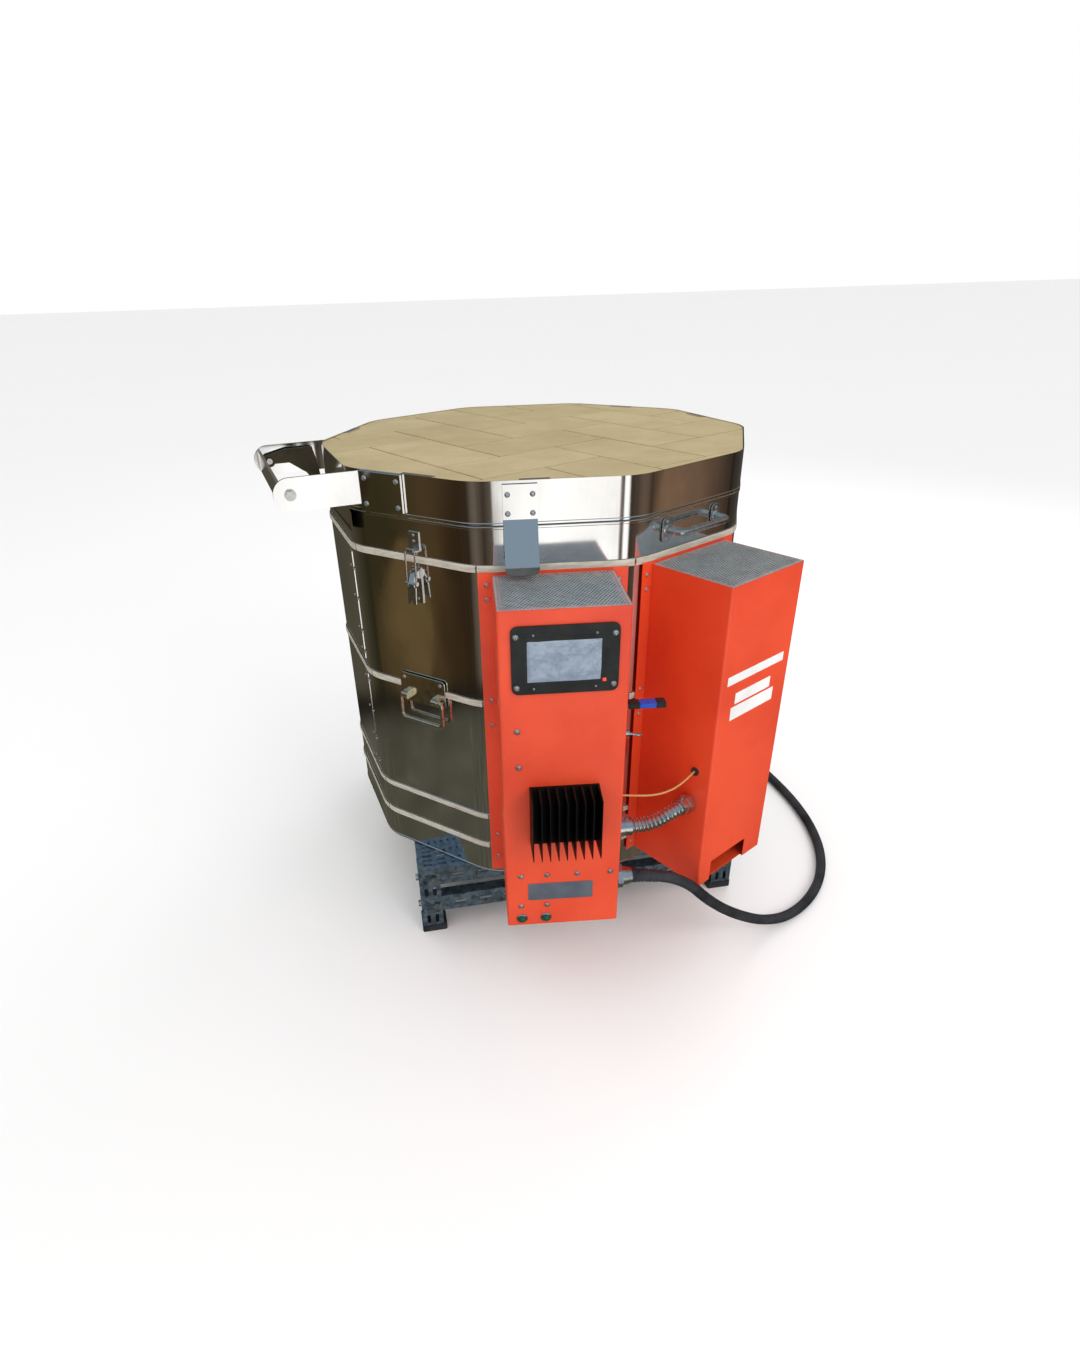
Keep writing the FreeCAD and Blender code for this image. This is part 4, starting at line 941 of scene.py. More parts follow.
def makeElements():
    look = {"coil": 4.6, "wire": 0.95, "pitch": 8.0, "perTurn": 9, "sides": 4, "reach": 311.7,
            "grooves": (0.18, 0.5, 0.82)}
    build = Build("heatingCoils", "element")
    corner = look["reach"] / math.cos(math.radians(18))
    lap = 20 * look["reach"] * math.tan(math.radians(18))
    turns = int(lap / look["pitch"])
    for level in [levels[ring] + ringHeight * share for ring in ("ringC", "ringB")
                  for share in look["grooves"]]:
        points = []
        for j in range(turns * look["perTurn"]):
            travel = 10.0 * j / (turns * look["perTurn"])
            side, share = int(travel), travel - int(travel)
            a, b = (math.radians(frontFacet + 18 + 36 * k) for k in (side, side + 1))
            middle = Vector((math.cos(a), math.sin(a), 0)).lerp(Vector((math.cos(b), math.sin(b), 0)),
                                                                share) * corner
            turn = 2 * math.pi * j / look["perTurn"]
            points.append(axis + (middle + middle.normalized() * look["coil"] * math.cos(turn)
                                  + Vector((0, 0, level + look["coil"] * math.sin(turn)))) * mm)
        build.tube(points, look["wire"], "element", look["sides"], closed=True)
    return build.done(smooth=60)


place(makeElements(), kiln, "element_wire", "heating_elements")
print("bricks and coils made")


# Screws, one driven head copied to every hole
def screwHead():
    # a pan head of radius 1 mm with a cross cut in it, facing +z
    build = Build("screwHead", "screwHead")
    build.lathe([(0, -0.5), (0.5, -0.5), (0.5, 0), (1.0, 0), (1.02, 0.12), (0.98, 0.30), (0.84, 0.46),
                 (0.6, 0.56), (0.3, 0.6), (0, 0.61)],
                Matrix.Identity(4), "screwHead", steps=18)
    head = build.done(smooth=50)
    cross = Build("crossCut", "screwHead")
    cross.block((-0.58, -0.11, 0.25), (0.58, 0.11, 1.0), Matrix.Identity(4), "screwHead")
    cross.block((-0.11, -0.58, 0.25), (0.11, 0.58, 1.0), Matrix.Identity(4), "screwHead")
    cutter = cross.done()
    cut = head.modifiers.new("cross", "BOOLEAN")
    cut.operation = "DIFFERENCE"
    cut.solver = "EXACT"
    cut.use_self = True
    cut.object = cutter
    made = plainMesh(head, "screwUnit", "screwHead")
    bpy.data.objects.remove(cutter)
    return made


def faceSpots(angle, out, places):
    return [(onFacet(x, out, z, angle), facetNormal(angle)) for x, z in places]


def grouped(radius, *lists):
    return [(place, facing, radius) for spots in lists for place, facing in spots]


boxLook = {"frontCentre": -5.0, "half": 92.0, "face": 517.0, "panel": 3.0, "low": 166.0, "high": 730.0,
           "back": 373.6, "sideHalf": 88.0, "sideFace": 522.0}


pullHandleRise = 5.0     # above the middle of the top ring


def bodyScrewSpots():
    face = boxLook["face"]
    level = (levels["ringA"] + levels["lid"]) / 2 + pullHandleRise
    spots = grouped(4.6, faceSpots(frontFacet, face,
                                   [(-73, 272), (-31, 272), (18, 272), (72, 272), (-74, 208), (-31, 208),
                                    (-73, 544), (-72, 482)]))
    spots += grouped(4.6, faceSpots(frontFacet, face + 3, [(x, z) for x in (-72, 64) for z in (693, 616)]))
    spots += grouped(2.0, faceSpots(frontFacet, face + 3,
                                    [(x, z) for x in (-48, 39) for z in (694.5, 613.5)]))
    spots += grouped(4.0, faceSpots(frontFacet, boxLook["back"],
                                    [(x, z) for x in (-105, 95) for z in (716, 693, 521, 474, 248, 200)]))
    spots += grouped(4.0, faceSpots(rightFacet, boxLook["back"],
                                    [(x, z) for x in (-98, 98) for z in (716, 693, 521, 474, 248, 205)]))
    spots += grouped(2.6, faceSpots(hingeFacet, 371.0,
                                    [(x, z) for x in (67, 93)
                                     for z in (694, 640, 580, 540, 484, 420, 360, 310)]))
    spots += grouped(2.8, faceSpots(rightFacet, 373.2,
                                    [(x, level + z) for x in (-58, 58) for z in (-13, 13)]))
    for angle in (leftFacet, rearFacet):
        spots += grouped(3.2, faceSpots(angle, 374.6, [(x, z) for x in (-38, 38) for z in (490, 526)]))
        spots += grouped(2.4, faceSpots(angle, 372.0, [(8, 768), (8, 777)]),
                         faceSpots(angle, 372.2, [(8, 675)]))
    spots += grouped(4.0, faceSpots(hingeFacet, 374.2, [(-36, 784), (36, 784)]))
    return spots


def lidScrewSpots():
    spots = []
    for way in (-1, 1):
        for x in (-77.0, -14.0):
            spots += grouped(4.0, faceSpots(hingeFacet + 36 * way, 375.2, [(x * way, 816), (x * way, 855)]))
    for angle, centre in ((-90, -52.0), (18, 0.0), (126, 0.0)):
        spots += grouped(4.0, faceSpots(angle, 373.8,
                                        [(centre + x, z) for x in (-18, 18) for z in (821, 848)]))
    return spots


def screwTree(unit):
    tree = repeatTree("screwTree", "screwHead", unit)
    spread = [n for n in tree.nodes if n.bl_idname == "GeometryNodeInstanceOnPoints"][0]
    start = [n for n in tree.nodes if n.bl_idname == "NodeGroupInput"][0]
    radius = tree.nodes.new("GeometryNodeInputNamedAttribute")
    radius.data_type = "FLOAT"
    radius.inputs["Name"].default_value = "radius"
    scaled = tree.nodes.new("ShaderNodeMath")
    scaled.operation = "MULTIPLY"
    tree.links.new(radius.outputs["Attribute"], scaled.inputs[0])
    tree.links.new(start.outputs["Size"], scaled.inputs[1])
    tree.links.new(scaled.outputs[0], spread.inputs["Scale"])
    return tree


def setModifier(holder, tree, **values):
    setter = holder.modifiers.new("copies", "NODES")
    setter.node_group = tree
    sockets = {item.name: item.identifier for item in tree.interface.items_tree if item.in_out == "INPUT"}
    for name, value in values.items():
        setter[sockets[name]] = value
    return setter


def layoutMesh(name, spots):
    data = bpy.data.meshes.new(name)
    data.from_pydata([tuple(s[0]) for s in spots], [], [])
    data.attributes.new("facing", "FLOAT_VECTOR", "POINT")
    data.attributes.new("radius", "FLOAT", "POINT")
    for k, (_, way, radius) in enumerate(spots):
        data.attributes["facing"].data[k].vector = way
        data.attributes["radius"].data[k].value = radius
    holder = bpy.data.objects.new(name, data)
    scene.collection.objects.link(holder)
    return holder


unitScrew = screwHead()
headTree = screwTree(unitScrew)
for name, spots, owner, node in (("bodyScrews", bodyScrewSpots(), kiln, "body_screws"),
                                 ("lidScrews", lidScrewSpots(), "lid", "lid_screws")):
    holder = layoutMesh(name + "Layout", spots)
    setModifier(holder, headTree, Size=1.0, Twist=1.57, Seed=5)
    place(plainMesh(holder, name, "screwHead"), owner, "bright_steel", node)
bpy.data.objects.remove(unitScrew)
print("screws set:", len(bodyScrewSpots()) + len(lidScrewSpots()))


# Perforated sheets, one holed tile copied in staggered rows
def holedTile(name, pitch, hole, thick, finish, sides=12):
    # a six-sided tile with a round hole, in mm, facing +z
    build = Build(name, finish)
    across = pitch / 2
    outer, inner = [], []
    for k in range(sides):
        angle = 2 * math.pi * k / sides + math.pi / 6
        sector = (k * 360 / sides) % 60
        reach = across / math.cos(math.radians(30)) if sector == 0 else across
        outer.append((reach * math.cos(angle), reach * math.sin(angle)))
        inner.append((hole * math.cos(angle), hole * math.sin(angle)))
    layers = [[build.mesh.verts.new(Vector((x, y, z)) * mm) for x, y in ring]
              for ring, z in ((outer, thick), (inner, thick), (inner, 0), (outer, 0))]
    for first, second in zip(layers, layers[1:] + layers[:1]):
        for k in range(sides):
            build.mesh.faces.new((first[k], first[(k + 1) % sides], second[(k + 1) % sides], second[k]))
    return build.done(smooth=30)


def slotTile(name, width, depth, slot, thick, finish):
    # an oblong tile with a round-ended slot, in mm, facing +z
    build = Build(name, finish)
    outer = [(-width / 2, -depth / 2), (0, -depth / 2), (width / 2, -depth / 2), (width / 2, 0),
             (width / 2, depth / 2), (0, depth / 2), (-width / 2, depth / 2), (-width / 2, 0)]
    a, b = slot[0] / 2, slot[1] / 2
    inner = [(-a + b * 0.5, -b), (0, -b), (a - b * 0.5, -b), (a, 0), (a - b * 0.5, b), (0, b),
             (-a + b * 0.5, b), (-a, 0)]
    layers = [[build.mesh.verts.new(Vector((x, y, z)) * mm) for x, y in ring]
              for ring, z in ((outer, thick), (inner, thick), (inner, 0), (outer, 0))]
    for first, second in zip(layers, layers[1:] + layers[:1]):
        for k in range(8):
            build.mesh.faces.new((first[k], first[(k + 1) % 8], second[(k + 1) % 8], second[k]))
    return build.done(smooth=30)


def flatTree(name, finish, unit):
    # copies a tile without turning it, then turns and lifts the whole sheet into place
    tree = bpy.data.node_groups.new(name, "GeometryNodeTree")
    tree.interface.new_socket("Layout", in_out="INPUT", socket_type="NodeSocketGeometry")
    tree.interface.new_socket("Scale", in_out="INPUT", socket_type="NodeSocketFloat").default_value = 1.0
    tree.interface.new_socket("Place", in_out="INPUT", socket_type="NodeSocketVector")
    tree.interface.new_socket("Turn", in_out="INPUT", socket_type="NodeSocketVector")
    tree.interface.new_socket("Geometry", in_out="OUTPUT", socket_type="NodeSocketGeometry")
    nodes, links = tree.nodes, tree.links
    start, end = nodes.new("NodeGroupInput"), nodes.new("NodeGroupOutput")
    shape = nodes.new("GeometryNodeObjectInfo")
    shape.inputs["Object"].default_value = unit
    spread = nodes.new("GeometryNodeInstanceOnPoints")
    real = nodes.new("GeometryNodeRealizeInstances")
    move = nodes.new("GeometryNodeTransform")
    coat = nodes.new("GeometryNodeSetMaterial")
    coat.inputs["Material"].default_value = finishes[finish]
    links.new(start.outputs["Layout"], spread.inputs["Points"])
    links.new(shape.outputs["Geometry"], spread.inputs["Instance"])
    links.new(start.outputs["Scale"], spread.inputs["Scale"])
    links.new(start.outputs["Place"], move.inputs["Translation"])
    links.new(start.outputs["Turn"], move.inputs["Rotation"])
    links.new(spread.outputs[0], move.inputs["Geometry"])
    links.new(move.outputs[0], real.inputs[0])
    links.new(real.outputs[0], coat.inputs[0])
    links.new(coat.outputs[0], end.inputs[0])
    return tree


def tileField(name, spots, tile, finish, where, turn):
    holder = layoutMesh(name + "Layout",
                        [(Vector((x, y, 0)) * mm, Vector((0, 0, 1)), 1.0) for x, y in spots])
    tree = flatTree(name + "Tree", finish, tile)
    setModifier(holder, tree, Scale=1.0, Place=tuple(where), Turn=(0.0, 0.0, turn))
    return plainMesh(holder, name, finish)


def joined(name, pieces):
    # one mesh from several, each already in place
    whole = bmesh.new()
    materials = []
    for piece in pieces:
        part = bpy.data.meshes.new_from_object(piece.evaluated_get(bpy.context.evaluated_depsgraph_get()))
        first = len(whole.faces)
        whole.from_mesh(part)
        whole.faces.ensure_lookup_table()
        for face in whole.faces[first:]:
            finish = part.materials[face.material_index]
            if finish not in materials:
                materials.append(finish)
            face.material_index = materials.index(finish)
    data = bpy.data.meshes.new(name)
    whole.to_mesh(data)
    whole.free()
    for finish in materials:
        data.materials.append(finish)
    made = bpy.data.objects.new(name, data)
    scene.collection.objects.link(made)
    for piece in pieces:
        bpy.data.objects.remove(piece)
    return made


def boxGrilles():
    look = {"pitch": 5.4, "hole": 1.8, "thick": 0.6, "border": 0.6, "inset": 1.4}
    tile = holedTile("grilleTile", look["pitch"], look["hole"], look["thick"], "perforated")
    rowStep = look["pitch"] * math.cos(math.radians(30))
    parts = []
    for label, angle, centre, half, face in (("front", frontFacet, boxLook["frontCentre"], boxLook["half"],
                                              boxLook["face"]),
                                             ("side", rightFacet, 0.0, boxLook["sideHalf"],
                                              boxLook["sideFace"])):
        wide, near, far = half - look["inset"], face - look["inset"], boxLook["back"] + 1.4
        middle, deep = (near + far) / 2, (near - far) / 2
        spots = []
        rows = int((deep - look["border"]) / rowStep)
        for row in range(-rows, rows + 1):
            shift = look["pitch"] / 2 if row % 2 else 0.0
            count = int((wide - look["border"] - shift) / look["pitch"])
            for k in range(-count, count + (0 if row % 2 else 1)):
                spots.append((k * look["pitch"] + shift, row * rowStep))
        where = onFacet(centre, middle, boxLook["high"] + 0.15, angle)
        parts.append(tileField(label + "Holes", spots, tile, "perforated", where,
                               math.radians(angle - frontFacet)))
        edge = Build(label + "Edge", "perforated")
        turn = facetTurn(angle)
        z = (boxLook["high"] + 0.1, boxLook["high"] + 0.1 + look["thick"])
        border = look["border"] + 2.6
        edge.block((centre - wide, -near, z[0]), (centre + wide, -near + border, z[1]), turn)
        edge.block((centre - wide, -far - border, z[0]), (centre + wide, -far, z[1]), turn)
        edge.block((centre - wide, -near + border, z[0]), (centre - wide + border, -far - border, z[1]),
                   turn)
        edge.block((centre + wide - border, -near + border, z[0]), (centre + wide, -far - border, z[1]),
                   turn)
        parts.append(edge.done())
        # painted shade: a black sheet just under the holes stands in for the shade inside the box
        shadeSheet = Build(label + "Liner", "panel")
        shadeSheet.block((centre - wide + 0.6, -near + 0.6, boxLook["high"] - 4.5),
                    (centre + wide - 0.6, -far - 0.6, boxLook["high"] - 3.9), turn)
        parts.append(shadeSheet.done())
    bpy.data.objects.remove(tile)
    return joined("boxGrilles", parts)


place(boxGrilles(), kiln, "zinc", "box_grilles")


def standDeck():
    look = {"half": 316.5, "turn": 6.9, "centre": (19.0, 2.0), "tile": (27.0, 13.0), "slot": (17.0, 5.0),
            "low": 153.0, "high": 155.0}
    tile = slotTile("deckTile", *look["tile"], look["slot"], look["high"] - look["low"], "zinc")
    columns, rows = int(2 * look["half"] / look["tile"][0]), int(2 * look["half"] / look["tile"][1])
    spots = [((k - (columns - 1) / 2) * look["tile"][0], (j - (rows - 1) / 2) * look["tile"][1])
             for k in range(columns) for j in range(rows)]
    turn = math.radians(look["turn"])
    where = fromAxis(*look["centre"], look["low"])
    deck = tileField("deckSlots", spots, tile, "zinc", where, turn)
    bpy.data.objects.remove(tile)
    edge = Build("deckEdge", "zinc")
    matrix = Matrix.Translation(where) @ Matrix.Rotation(turn, 4, "Z")
    full, x, y = look["half"], columns * look["tile"][0] / 2, rows * look["tile"][1] / 2
    for low, high in (((-full, -full), (full, -y)), ((-full, y), (full, full)), ((-full, -y), (-x, y)),
                      ((x, -y), (full, y))):
        edge.block((*low, 0.0), (*high, 2.0), matrix)
    return joined("standDeck", [deck, edge.done()])


place(standDeck(), kiln, "zinc", "stand_deck")
print("perforated sheets made")


# Controller, film, lamps, labels, heat sink, memory stick
def touchScreen():
    look = {"low": (-57.0, 624.0), "high": (46.0, 686.0), "columns": 72, "rows": 44}
    random.seed(11)
    build = Build("touchScreen", "film", "panel", "red")
    turn = facetTurn(frontFacet)
    out = boxLook["face"] + boxLook["panel"]
    build.block((-59.5, -out - 0.25, 621.5), (48.5, -out, 688.5), turn, "panel")
    creases = [(random.uniform(-60, 50), random.uniform(620, 690), random.uniform(-1.4, 1.4),
                random.uniform(0.10, 0.34)) for _ in range(16)]

    def lift(x, z):
        value = 0.22 * math.sin(x * 0.11 + z * 0.05) + 0.18 * math.sin(z * 0.17 - x * 0.04)
        for cx, cz, slope, height in creases:
            away = abs((z - cz) - slope * (x - cx)) / math.sqrt(1 + slope * slope)
            value += height * math.exp(-(away / 1.5) ** 2) * math.exp(-((x - cx) / 20) ** 2)
        edge = min(x - look["low"][0], look["high"][0] - x, z - look["low"][1], look["high"][1] - z)
        return max(0.05, 0.5 + value) * min(1.0, edge / 3.0) + 0.32

    grid = []
    for j in range(look["rows"] + 1):
        row = []
        for k in range(look["columns"] + 1):
            x = look["low"][0] + (look["high"][0] - look["low"][0]) * k / look["columns"]
            z = look["low"][1] + (look["high"][1] - look["low"][1]) * j / look["rows"]
            row.append(build.mesh.verts.new(Vector((x, -out - lift(x, z), z)) * mm))
        grid.append(row)
    for a, b in zip(grid, grid[1:]):
        for k in range(look["columns"]):
            build.mesh.faces.new((a[k], a[k + 1], b[k + 1], b[k]))
    back = [build.mesh.verts.new(Vector((x, -out - 0.2, z)) * mm)
            for x, z in ((look["low"][0], look["low"][1]), (look["high"][0], look["low"][1]),
                         (look["high"][0], look["high"][1]), (look["low"][0], look["high"][1]))]
    rim = ([grid[0][k] for k in range(look["columns"] + 1)] + [row[-1] for row in grid[1:]]
           + grid[-1][-2::-1] + [row[0] for row in grid[-2:0:-1]])
    build.mesh.faces.new(back)
    corners = [0, look["columns"], look["columns"] + look["rows"], 2 * look["columns"] + look["rows"],
               len(rim)]
    for k in range(4):
        strip = [rim[i % len(rim)] for i in range(corners[k], corners[k + 1] + 1)]
        build.mesh.faces.new([back[k], back[(k + 1) % 4]] + strip[::-1])
    build.added([v for row in grid for v in row] + back, turn, "film")
    build.block((48.2, -out - 1.5, 621.4), (53.2, -out, 626.2), turn, "red")
    return build.done(smooth=60)


place(touchScreen(), kiln, "screen_film", "touch_screen")


def roundedOutline(x, z, radius, steps=5):
    points = []
    for cx, cz, start in ((x[1] - radius, z[1] - radius, 0), (x[0] + radius, z[1] - radius, 90),
                          (x[0] + radius, z[0] + radius, 180), (x[1] - radius, z[0] + radius, 270)):
        for k in range(steps + 1):
            turn = math.radians(start + 90 * k / steps)
            points.append((cx + radius * math.cos(turn), cz + radius * math.sin(turn)))
    return points


def controllerPanel():
    build = Build("controllerPanel", "panel")
    turn = facetTurn(frontFacet)
    out = boxLook["face"]
    build.slab(roundedOutline((-79, 71), (605, 708), 10), -out - 3.0, -out, turn)
    build.slab(roundedOutline((-63, 52), (618, 692), 3), -out - 3.35, -out - 2.9, turn)
    return build.done(bevel=0.6)


place(controllerPanel(), kiln, "black_plastic", "controller_panel")


def labels():
    plate = Build("namePlate", "label")
    plate.slab(roundedOutline((-62, 44), (220, 255), 2), -boxLook["face"] - 0.8, -boxLook["face"],
               facetTurn(frontFacet))
    plate.slab(roundedOutline((-59.5, 41.5), (222.5, 252.5), 1.2), -boxLook["face"] - 0.95,
               -boxLook["face"] - 0.7, facetTurn(frontFacet))
    stickers = Build("sideLabels", "paper")
    turn = facetTurn(rightFacet)
    for x, z in (((-74, 68), (571, 586)), ((-50, 40), (533, 552)), ((-58, 52), (506, 529))):
        stickers.slab(roundedOutline(x, z, 0.8, 2), -boxLook["sideFace"] - 0.45, -boxLook["sideFace"], turn)
    return plate.done(bevel=0.2), stickers.done(bevel=0.15)


namePlate, sideLabels = labels()
place(namePlate, kiln, "bare_label", "label_plates")
place(sideLabels, kiln, "bare_label", "label_plates")


def pilotLamps():
    build = Build("pilotLamps", "plated", "green", "panel")
    for x in (-73.0, -33.0):
        matrix = aim(onFacet(x, boxLook["face"], 181.0), facetNormal(frontFacet))
        build.lathe([(0, -22), (5.8, -22), (5.8, -1), (6.4, -0.5), (6.6, 0.2)], matrix, "panel", 28)
        build.lathe([(6.6, 0), (9.3, 0), (9.5, 0.8), (8.8, 2.0), (7.4, 2.6), (7.0, 2.2), (6.9, 0.4),
                     (6.6, 0)], matrix, "plated", 36)
        build.lathe([(6.9, 0.5), (6.9, 2.6), (6.2, 4.4), (4.6, 5.8), (2.6, 6.6), (0, 6.9)], matrix, "green",
                    28)
    return build.done(smooth=50)


place(pilotLamps(), kiln, "lamp_green", "pilot_lamps")


def heatSink():
    look = {"fins": 9, "low": 340.0, "high": 446.0, "left": -57.0, "right": 49.0, "base": 4.0,
            "depth": 48.0, "root": 3.2, "tip": 1.0}
    build = Build("heatSink", "anodised")
    turn = facetTurn(frontFacet)
    face = boxLook["face"]
    build.block((look["left"], -face - look["base"], look["low"]), (look["right"], -face, look["high"]),
                turn)
    pitch = (look["right"] - look["left"] - look["root"]) / (look["fins"] - 1)
    for k in range(look["fins"]):
        middle = look["left"] + look["root"] / 2 + pitch * k
        outline = []
        for side in (1, -1):
            steps = 19
            for j in range(steps + 1):
                share = j / steps if side > 0 else 1 - j / steps
                half = (look["root"] + (look["tip"] - look["root"]) * share) / 2 + (0.22 if j % 2 else 0.0)
                outline.append((middle + side * half, face + 3.5 + (look["depth"] - 3.5) * share))
        low = [build.mesh.verts.new(Vector((x, -out, look["low"])) * mm) for x, out in outline]
        high = [build.mesh.verts.new(Vector((x, -out, look["high"])) * mm) for x, out in outline]
        build.mesh.faces.new(low)
        build.mesh.faces.new(high[::-1])
        for j in range(len(low)):
            build.mesh.faces.new((low[j], low[(j + 1) % len(low)], high[(j + 1) % len(low)], high[j]))
        build.added(low + high, turn, "anodised")
    return build.done(smooth=25)


place(heatSink(), kiln, "black_anodised", "heatsink")


def memoryStick():
    look = {"y": -500.0, "z": 570.0, "wall": 87.0}
    build = Build("memoryStick", "panel", "blue", "plated")
    matrix = Matrix.Translation(fromAxis(look["wall"], look["y"], look["z"]))
    build.block((-9.0, -6.0, -2.2), (4.0, 6.0, 2.2), matrix, "plated")
    build.block((3.0, -8.7, -4.0), (20.0, 8.7, 4.0), matrix, "panel")
    build.block((19.0, -8.3, -3.8), (45.0, 8.3, 3.8), matrix, "blue")
    build.block((43.5, -9.0, -4.2), (58.0, 9.0, 4.2), matrix, "panel")
    return build.done(bevel=1.4, segments=3)


place(memoryStick(), "memory_stick", "memory_stick_plastic", "memory_stick")


def pullHandle():
    look = {"half": 58.0, "bar": 5.6, "out": 399.0, "bend": 12.0}
    level = (levels["ringA"] + levels["lid"]) / 2 + pullHandleRise
    build = Build("pullHandle", "plated")
    turn = facetTurn(rightFacet)
    for way in (-1, 1):
        x = way * look["half"]
        build.slab(roundedOutline((x - 11, x + 11), (level - 19, level + 19), 8), -373.2, -371.2, turn)
        build.lathe([(0, -1), (9, -1), (9, 0.5), (7.4, 2.2), (6.0, 2.6), (0, 2.6)],
                    turn @ aim(Vector((x, -373.0, level)) * mm, (0, -1, 0)), "plated", 28)
    path = [Vector((-look["half"], -372.5, level))]
    for way in (-1, 1):
        arc = []
        for k in range(9):
            angle = math.radians(90 * k / 8)
            arc.append(Vector((way * (look["half"] - look["bend"] + look["bend"] * math.cos(angle)),
                               -(look["out"] - look["bend"] + look["bend"] * math.sin(angle)), level)))
        path += arc if way < 0 else arc[::-1]
    path.append(Vector((look["half"], -372.5, level)))
    build.tube([turn @ (p * mm) for p in path], look["bar"], "plated", 20)
    return build.done(bevel=0.4, smooth=40)


place(pullHandle(), kiln, "bright_steel", "ring_pull_handle")
print("controls made")


# Finishes on the parts that keep their own shape
dress("brick", "base_slab", "bricks_a", "bricks_b", "bricks_c", "bricks_d")
dress("zinc", "stand_legs", "stand_upper_rails", "stand_lower_rails")
dress("plated", "stand_bolts", "latch_keepers", "latch_bases", "latch_lever_front", "latch_lever_rear",
      "latch_bail_front",
      "latch_bail_rear", "hinge_pins", "toggle_base", "toggle_bat", "conduit_connectors", "cord_gland")
# painted reflection: the lift handle is chrome, and its warm tint stands in for the brown it reflects
dress("brassAndReflectionTint", "lift_handle_plates", "lift_bail_front", "lift_bail_rear")
dress("rubber", "stand_feet", "lead_grommet")
dress("orange", "front_box_shell", "side_box_shell", "box_back_plates")
dress("mirror", "hinge_yoke", "lid_straps")
dress("darkPlate", "hinge_bracket")
dress("tip", "lid_strap_tips")
dress("case", "relays")
dress("porcelain", "terminal_block", "thermocouple_tube")
dress("element", "element_terminals")
print("finishes set")


# Studio
studio = {"floorTone": 0.95, "fill": 1.0, "key": 30.0, "camera": (-123.91, -1469.09, 1111.88), "yaw": 2.51,
          "pitch": 29.49, "roll": -1.87, "lens": 20.51, "shift": (0.0221, 0.0295)}


def makeFloor():
    s = Shader("paleFloor")
    tone = s.noise(0.8, 3.0)
    s.finish(Base_Color=s.ramp(tone, [(0.3, studio["floorTone"] - 0.01), (0.7, studio["floorTone"])]),
             Roughness=0.8)
    data = bpy.data.meshes.new("floor")
    data.from_pydata([(-60, -60, 0), (60, -60, 0), (60, 60, 0), (-60, 60, 0)], [], [(0, 1, 2, 3)])
    data.materials.append(s.material)
    floor = bpy.data.objects.new("floor", data)
    scene.collection.objects.link(floor)
    floor.visible_glossy = False


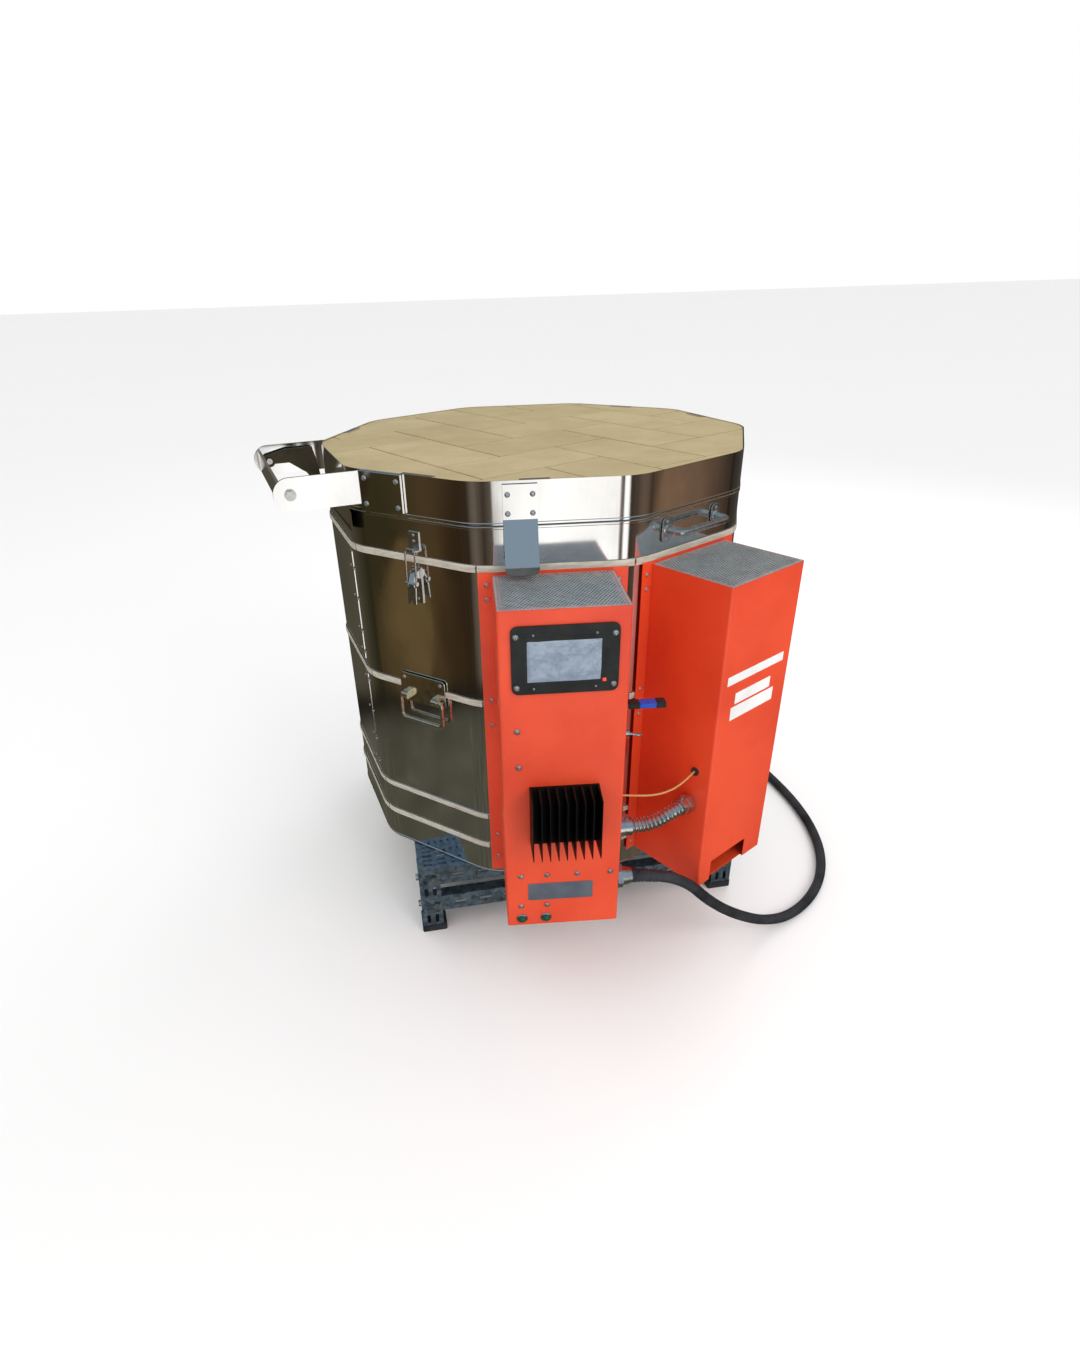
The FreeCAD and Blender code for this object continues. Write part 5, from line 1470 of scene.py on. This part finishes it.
def makeRoom():
    # soft white light on everything, and a made-up dim workshop that only shiny metal reflects;
    # walls go by compass direction in degrees, and floor and ceiling by the height of the direction
    room = {
        "walls": ((-180, (0.030, 0.026, 0.012)), (-170.6, (0.034, 0.028, 0.012)),
                  (-167.0, (0.055, 0.042, 0.018)), (-165.4, (0.050, 0.034, 0.014)),
                  (-165.0, (0.085, 0.052, 0.022)), (-163.6, (0.090, 0.054, 0.024)),
                  (-163.0, (0.030, 0.018, 0.008)), (-140, (0.035, 0.022, 0.012)),
                  (-125, (0.16, 0.13, 0.10)), (-108, (0.05, 0.035, 0.025)), (-91, (0.10, 0.08, 0.06)),
                  (-88.6, (1.35, 1.34, 1.32)), (-77, (1.35, 1.34, 1.33)),
                  (-75, (0.16, 0.12, 0.10)), (-70, (0.10, 0.075, 0.06)), (-68.6, (1.30, 1.30, 1.30)),
                  (-60, (1.30, 1.30, 1.30)), (-58, (0.04, 0.03, 0.02)),
                  (-25, (0.14, 0.095, 0.07)), (-6, (0.04, 0.028, 0.02)), (-4.4, (0.23, 0.14, 0.085)),
                  (-1.6, (0.20, 0.12, 0.075)), (-1.2, (0.095, 0.058, 0.038)),
                  (1.5, (0.060, 0.040, 0.028)), (4, (0.025, 0.018, 0.014)), (60, (0.08, 0.07, 0.06)),
                  (82, (0.45, 0.44, 0.42)), (98, (0.45, 0.44, 0.42)),
                  (110, (0.07, 0.062, 0.045)), (125, (0.085, 0.075, 0.05)), (180, (0.030, 0.026, 0.012))),
        "floor": (0.088, 0.085, 0.062), "ceilingFront": (0.24, 0.33, 0.42),
        "ceilingBack": (0.15, 0.14, 0.12),
        "disc": {"degrees": -167.6, "height": -0.375, "squash": 12.0, "radius": 0.098,
                 "colour": (0.122, 0.082, 0.034)}}
    world = bpy.data.worlds.new("room")
    scene.world = world
    world.use_nodes = True
    tree = world.node_tree
    nodes, links = tree.nodes, tree.links
    nodes.clear()

    def node(kind, inputs=None, **settings):
        made = nodes.new(kind)
        for key, value in settings.items():
            setattr(made, key, value)
        for key, value in (inputs or {}).items():
            if isinstance(value, bpy.types.NodeSocket):
                links.new(value, made.inputs[key])
            else:
                made.inputs[key].default_value = value
        return made

    def blend(amount, first, second):
        return node("ShaderNodeMix", {0: amount, 6: first, 7: second}, data_type="RGBA").outputs[2]

    def between(value, low, high):
        return node("ShaderNodeMapRange", {"Value": value, "From Min": low, "From Max": high},
                    interpolation_type="SMOOTHSTEP").outputs[0]

    way = node("ShaderNodeTexCoord").outputs["Generated"]
    split = node("ShaderNodeSeparateXYZ", {0: way}).outputs
    height = split["Z"]
    angle = node("ShaderNodeMath", {0: split["Y"], 1: split["X"]}, operation="ARCTAN2").outputs[0]
    share = node("ShaderNodeMapRange", {"Value": angle, "From Min": -math.pi,
                                        "From Max": math.pi}).outputs[0]
    walls = node("ShaderNodeValToRGB", {"Fac": share})
    bar = walls.color_ramp
    while len(bar.elements) < len(room["walls"]):
        bar.elements.new(0.5)
    for element, (degrees, colour) in zip(bar.elements, room["walls"]):
        element.position, element.color = degrees / 360 + 0.5, (*colour, 1)
    colour = walls.outputs["Color"]
    disc = room["disc"]
    flat = node("ShaderNodeCombineXYZ",
                {"X": node("ShaderNodeMath", {0: share, 1: disc["squash"]},
                           operation="MULTIPLY").outputs[0], "Y": height}).outputs[0]
    centre = ((disc["degrees"] / 360 + 0.5) * disc["squash"], disc["height"], 0)
    away = node("ShaderNodeVectorMath", {0: flat, 1: centre}, operation="DISTANCE").outputs["Value"]
    colour = blend(between(away, disc["radius"] + 0.010, disc["radius"] + 0.004), colour,
                   (0.018, 0.013, 0.007, 1))
    colour = blend(between(away, disc["radius"], disc["radius"] - 0.004), colour, (*disc["colour"], 1))
    blotch = node("ShaderNodeTexNoise", {"Vector": way, "Scale": 28.0, "Detail": 8.0,
                                         "Roughness": 0.65}).outputs["Fac"]
    streak = node("ShaderNodeTexNoise",
                  {"Vector": node("ShaderNodeMapping", {"Vector": way, "Scale": (1, 1, 0.15)}).outputs[0],
                   "Scale": 16.0, "Detail": 4.0}).outputs["Fac"]
    floorTone = node("ShaderNodeMapRange", {"Value": blotch, "From Min": 0.3, "From Max": 0.7,
                                            "To Min": 0.45, "To Max": 1.5}).outputs[0]
    wallTone = node("ShaderNodeMapRange", {"Value": streak, "From Min": 0.3, "From Max": 0.7, "To Min": 0.8,
                                           "To Max": 1.2}).outputs[0]
    colour = node("ShaderNodeVectorMath", {0: colour, "Scale": wallTone}, operation="SCALE").outputs[0]
    floor = node("ShaderNodeVectorMath", {0: room["floor"], "Scale": floorTone},
                 operation="SCALE").outputs[0]
    wave = node("ShaderNodeMapRange", {"Value": blotch, "To Min": -0.02, "To Max": 0.02}).outputs[0]
    wavy = node("ShaderNodeMath", {0: height, 1: wave}, operation="ADD").outputs[0]
    colour = blend(between(wavy, -0.44, -0.47), colour, (0.016, 0.013, 0.009, 1))
    colour = blend(between(wavy, -0.47, -0.50), colour, floor)
    front = between(split["Y"], 0.2, -0.2)
    ceiling = blend(front, (*room["ceilingBack"], 1), (*room["ceilingFront"], 1))
    colour = blend(between(height, 0.06, 0.16), colour, ceiling)
    shiny = node("ShaderNodeBackground", {"Color": colour})
    soft = node("ShaderNodeBackground", {"Color": (1.0, 1.0, 1.0, 1), "Strength": studio["fill"]})
    seen = node("ShaderNodeLightPath")
    both = node("ShaderNodeMixShader", {0: seen.outputs["Is Glossy Ray"], 1: soft.outputs[0],
                                        2: shiny.outputs[0]})
    node("ShaderNodeOutputWorld", {"Surface": both.outputs[0]})


def areaLight(name, where, towards, size, power, colour=(1, 1, 1), shiny=False):
    data = bpy.data.lights.new(name, "AREA")
    data.size = size
    data.energy = power
    data.color = colour
    light = bpy.data.objects.new(name, data)
    scene.collection.objects.link(light)
    light.location = where
    light.rotation_euler = (Vector(towards) - Vector(where)).to_track_quat("-Z", "Y").to_euler()
    light.visible_glossy = shiny
    return light


def makeCamera():
    yaw, pitch, roll = (math.radians(studio[k]) for k in ("yaw", "pitch", "roll"))
    ahead = Vector((math.sin(yaw) * math.cos(pitch), math.cos(yaw) * math.cos(pitch), -math.sin(pitch)))
    level = Vector((math.cos(yaw), -math.sin(yaw), 0))
    upright = level.cross(ahead)
    right = level * math.cos(roll) + upright * math.sin(roll)
    up = upright * math.cos(roll) - level * math.sin(roll)
    data = bpy.data.cameras.new("camera")
    data.lens = studio["lens"]
    data.sensor_width = 36.0
    data.shift_x, data.shift_y = studio["shift"]
    camera = bpy.data.objects.new("camera", data)
    scene.collection.objects.link(camera)
    where = fromAxis(*studio["camera"])
    camera.matrix_world = Matrix(((right.x, up.x, -ahead.x, where.x), (right.y, up.y, -ahead.y, where.y),
                                  (right.z, up.z, -ahead.z, where.z), (0, 0, 0, 1)))
    scene.camera = camera


makeFloor()
makeRoom()
areaLight("key", (1.7, -2.3, 2.2), (0.1, -0.1, 0.4), 1.6, studio["key"], (1.0, 0.98, 0.95))
areaLight("back", (1.8, 2.2, 2.4), (0.0, 0.0, 0.4), 1.6, studio["key"] * 0.6)
makeCamera()
scene.view_settings.view_transform = "Standard"
print("studio set")
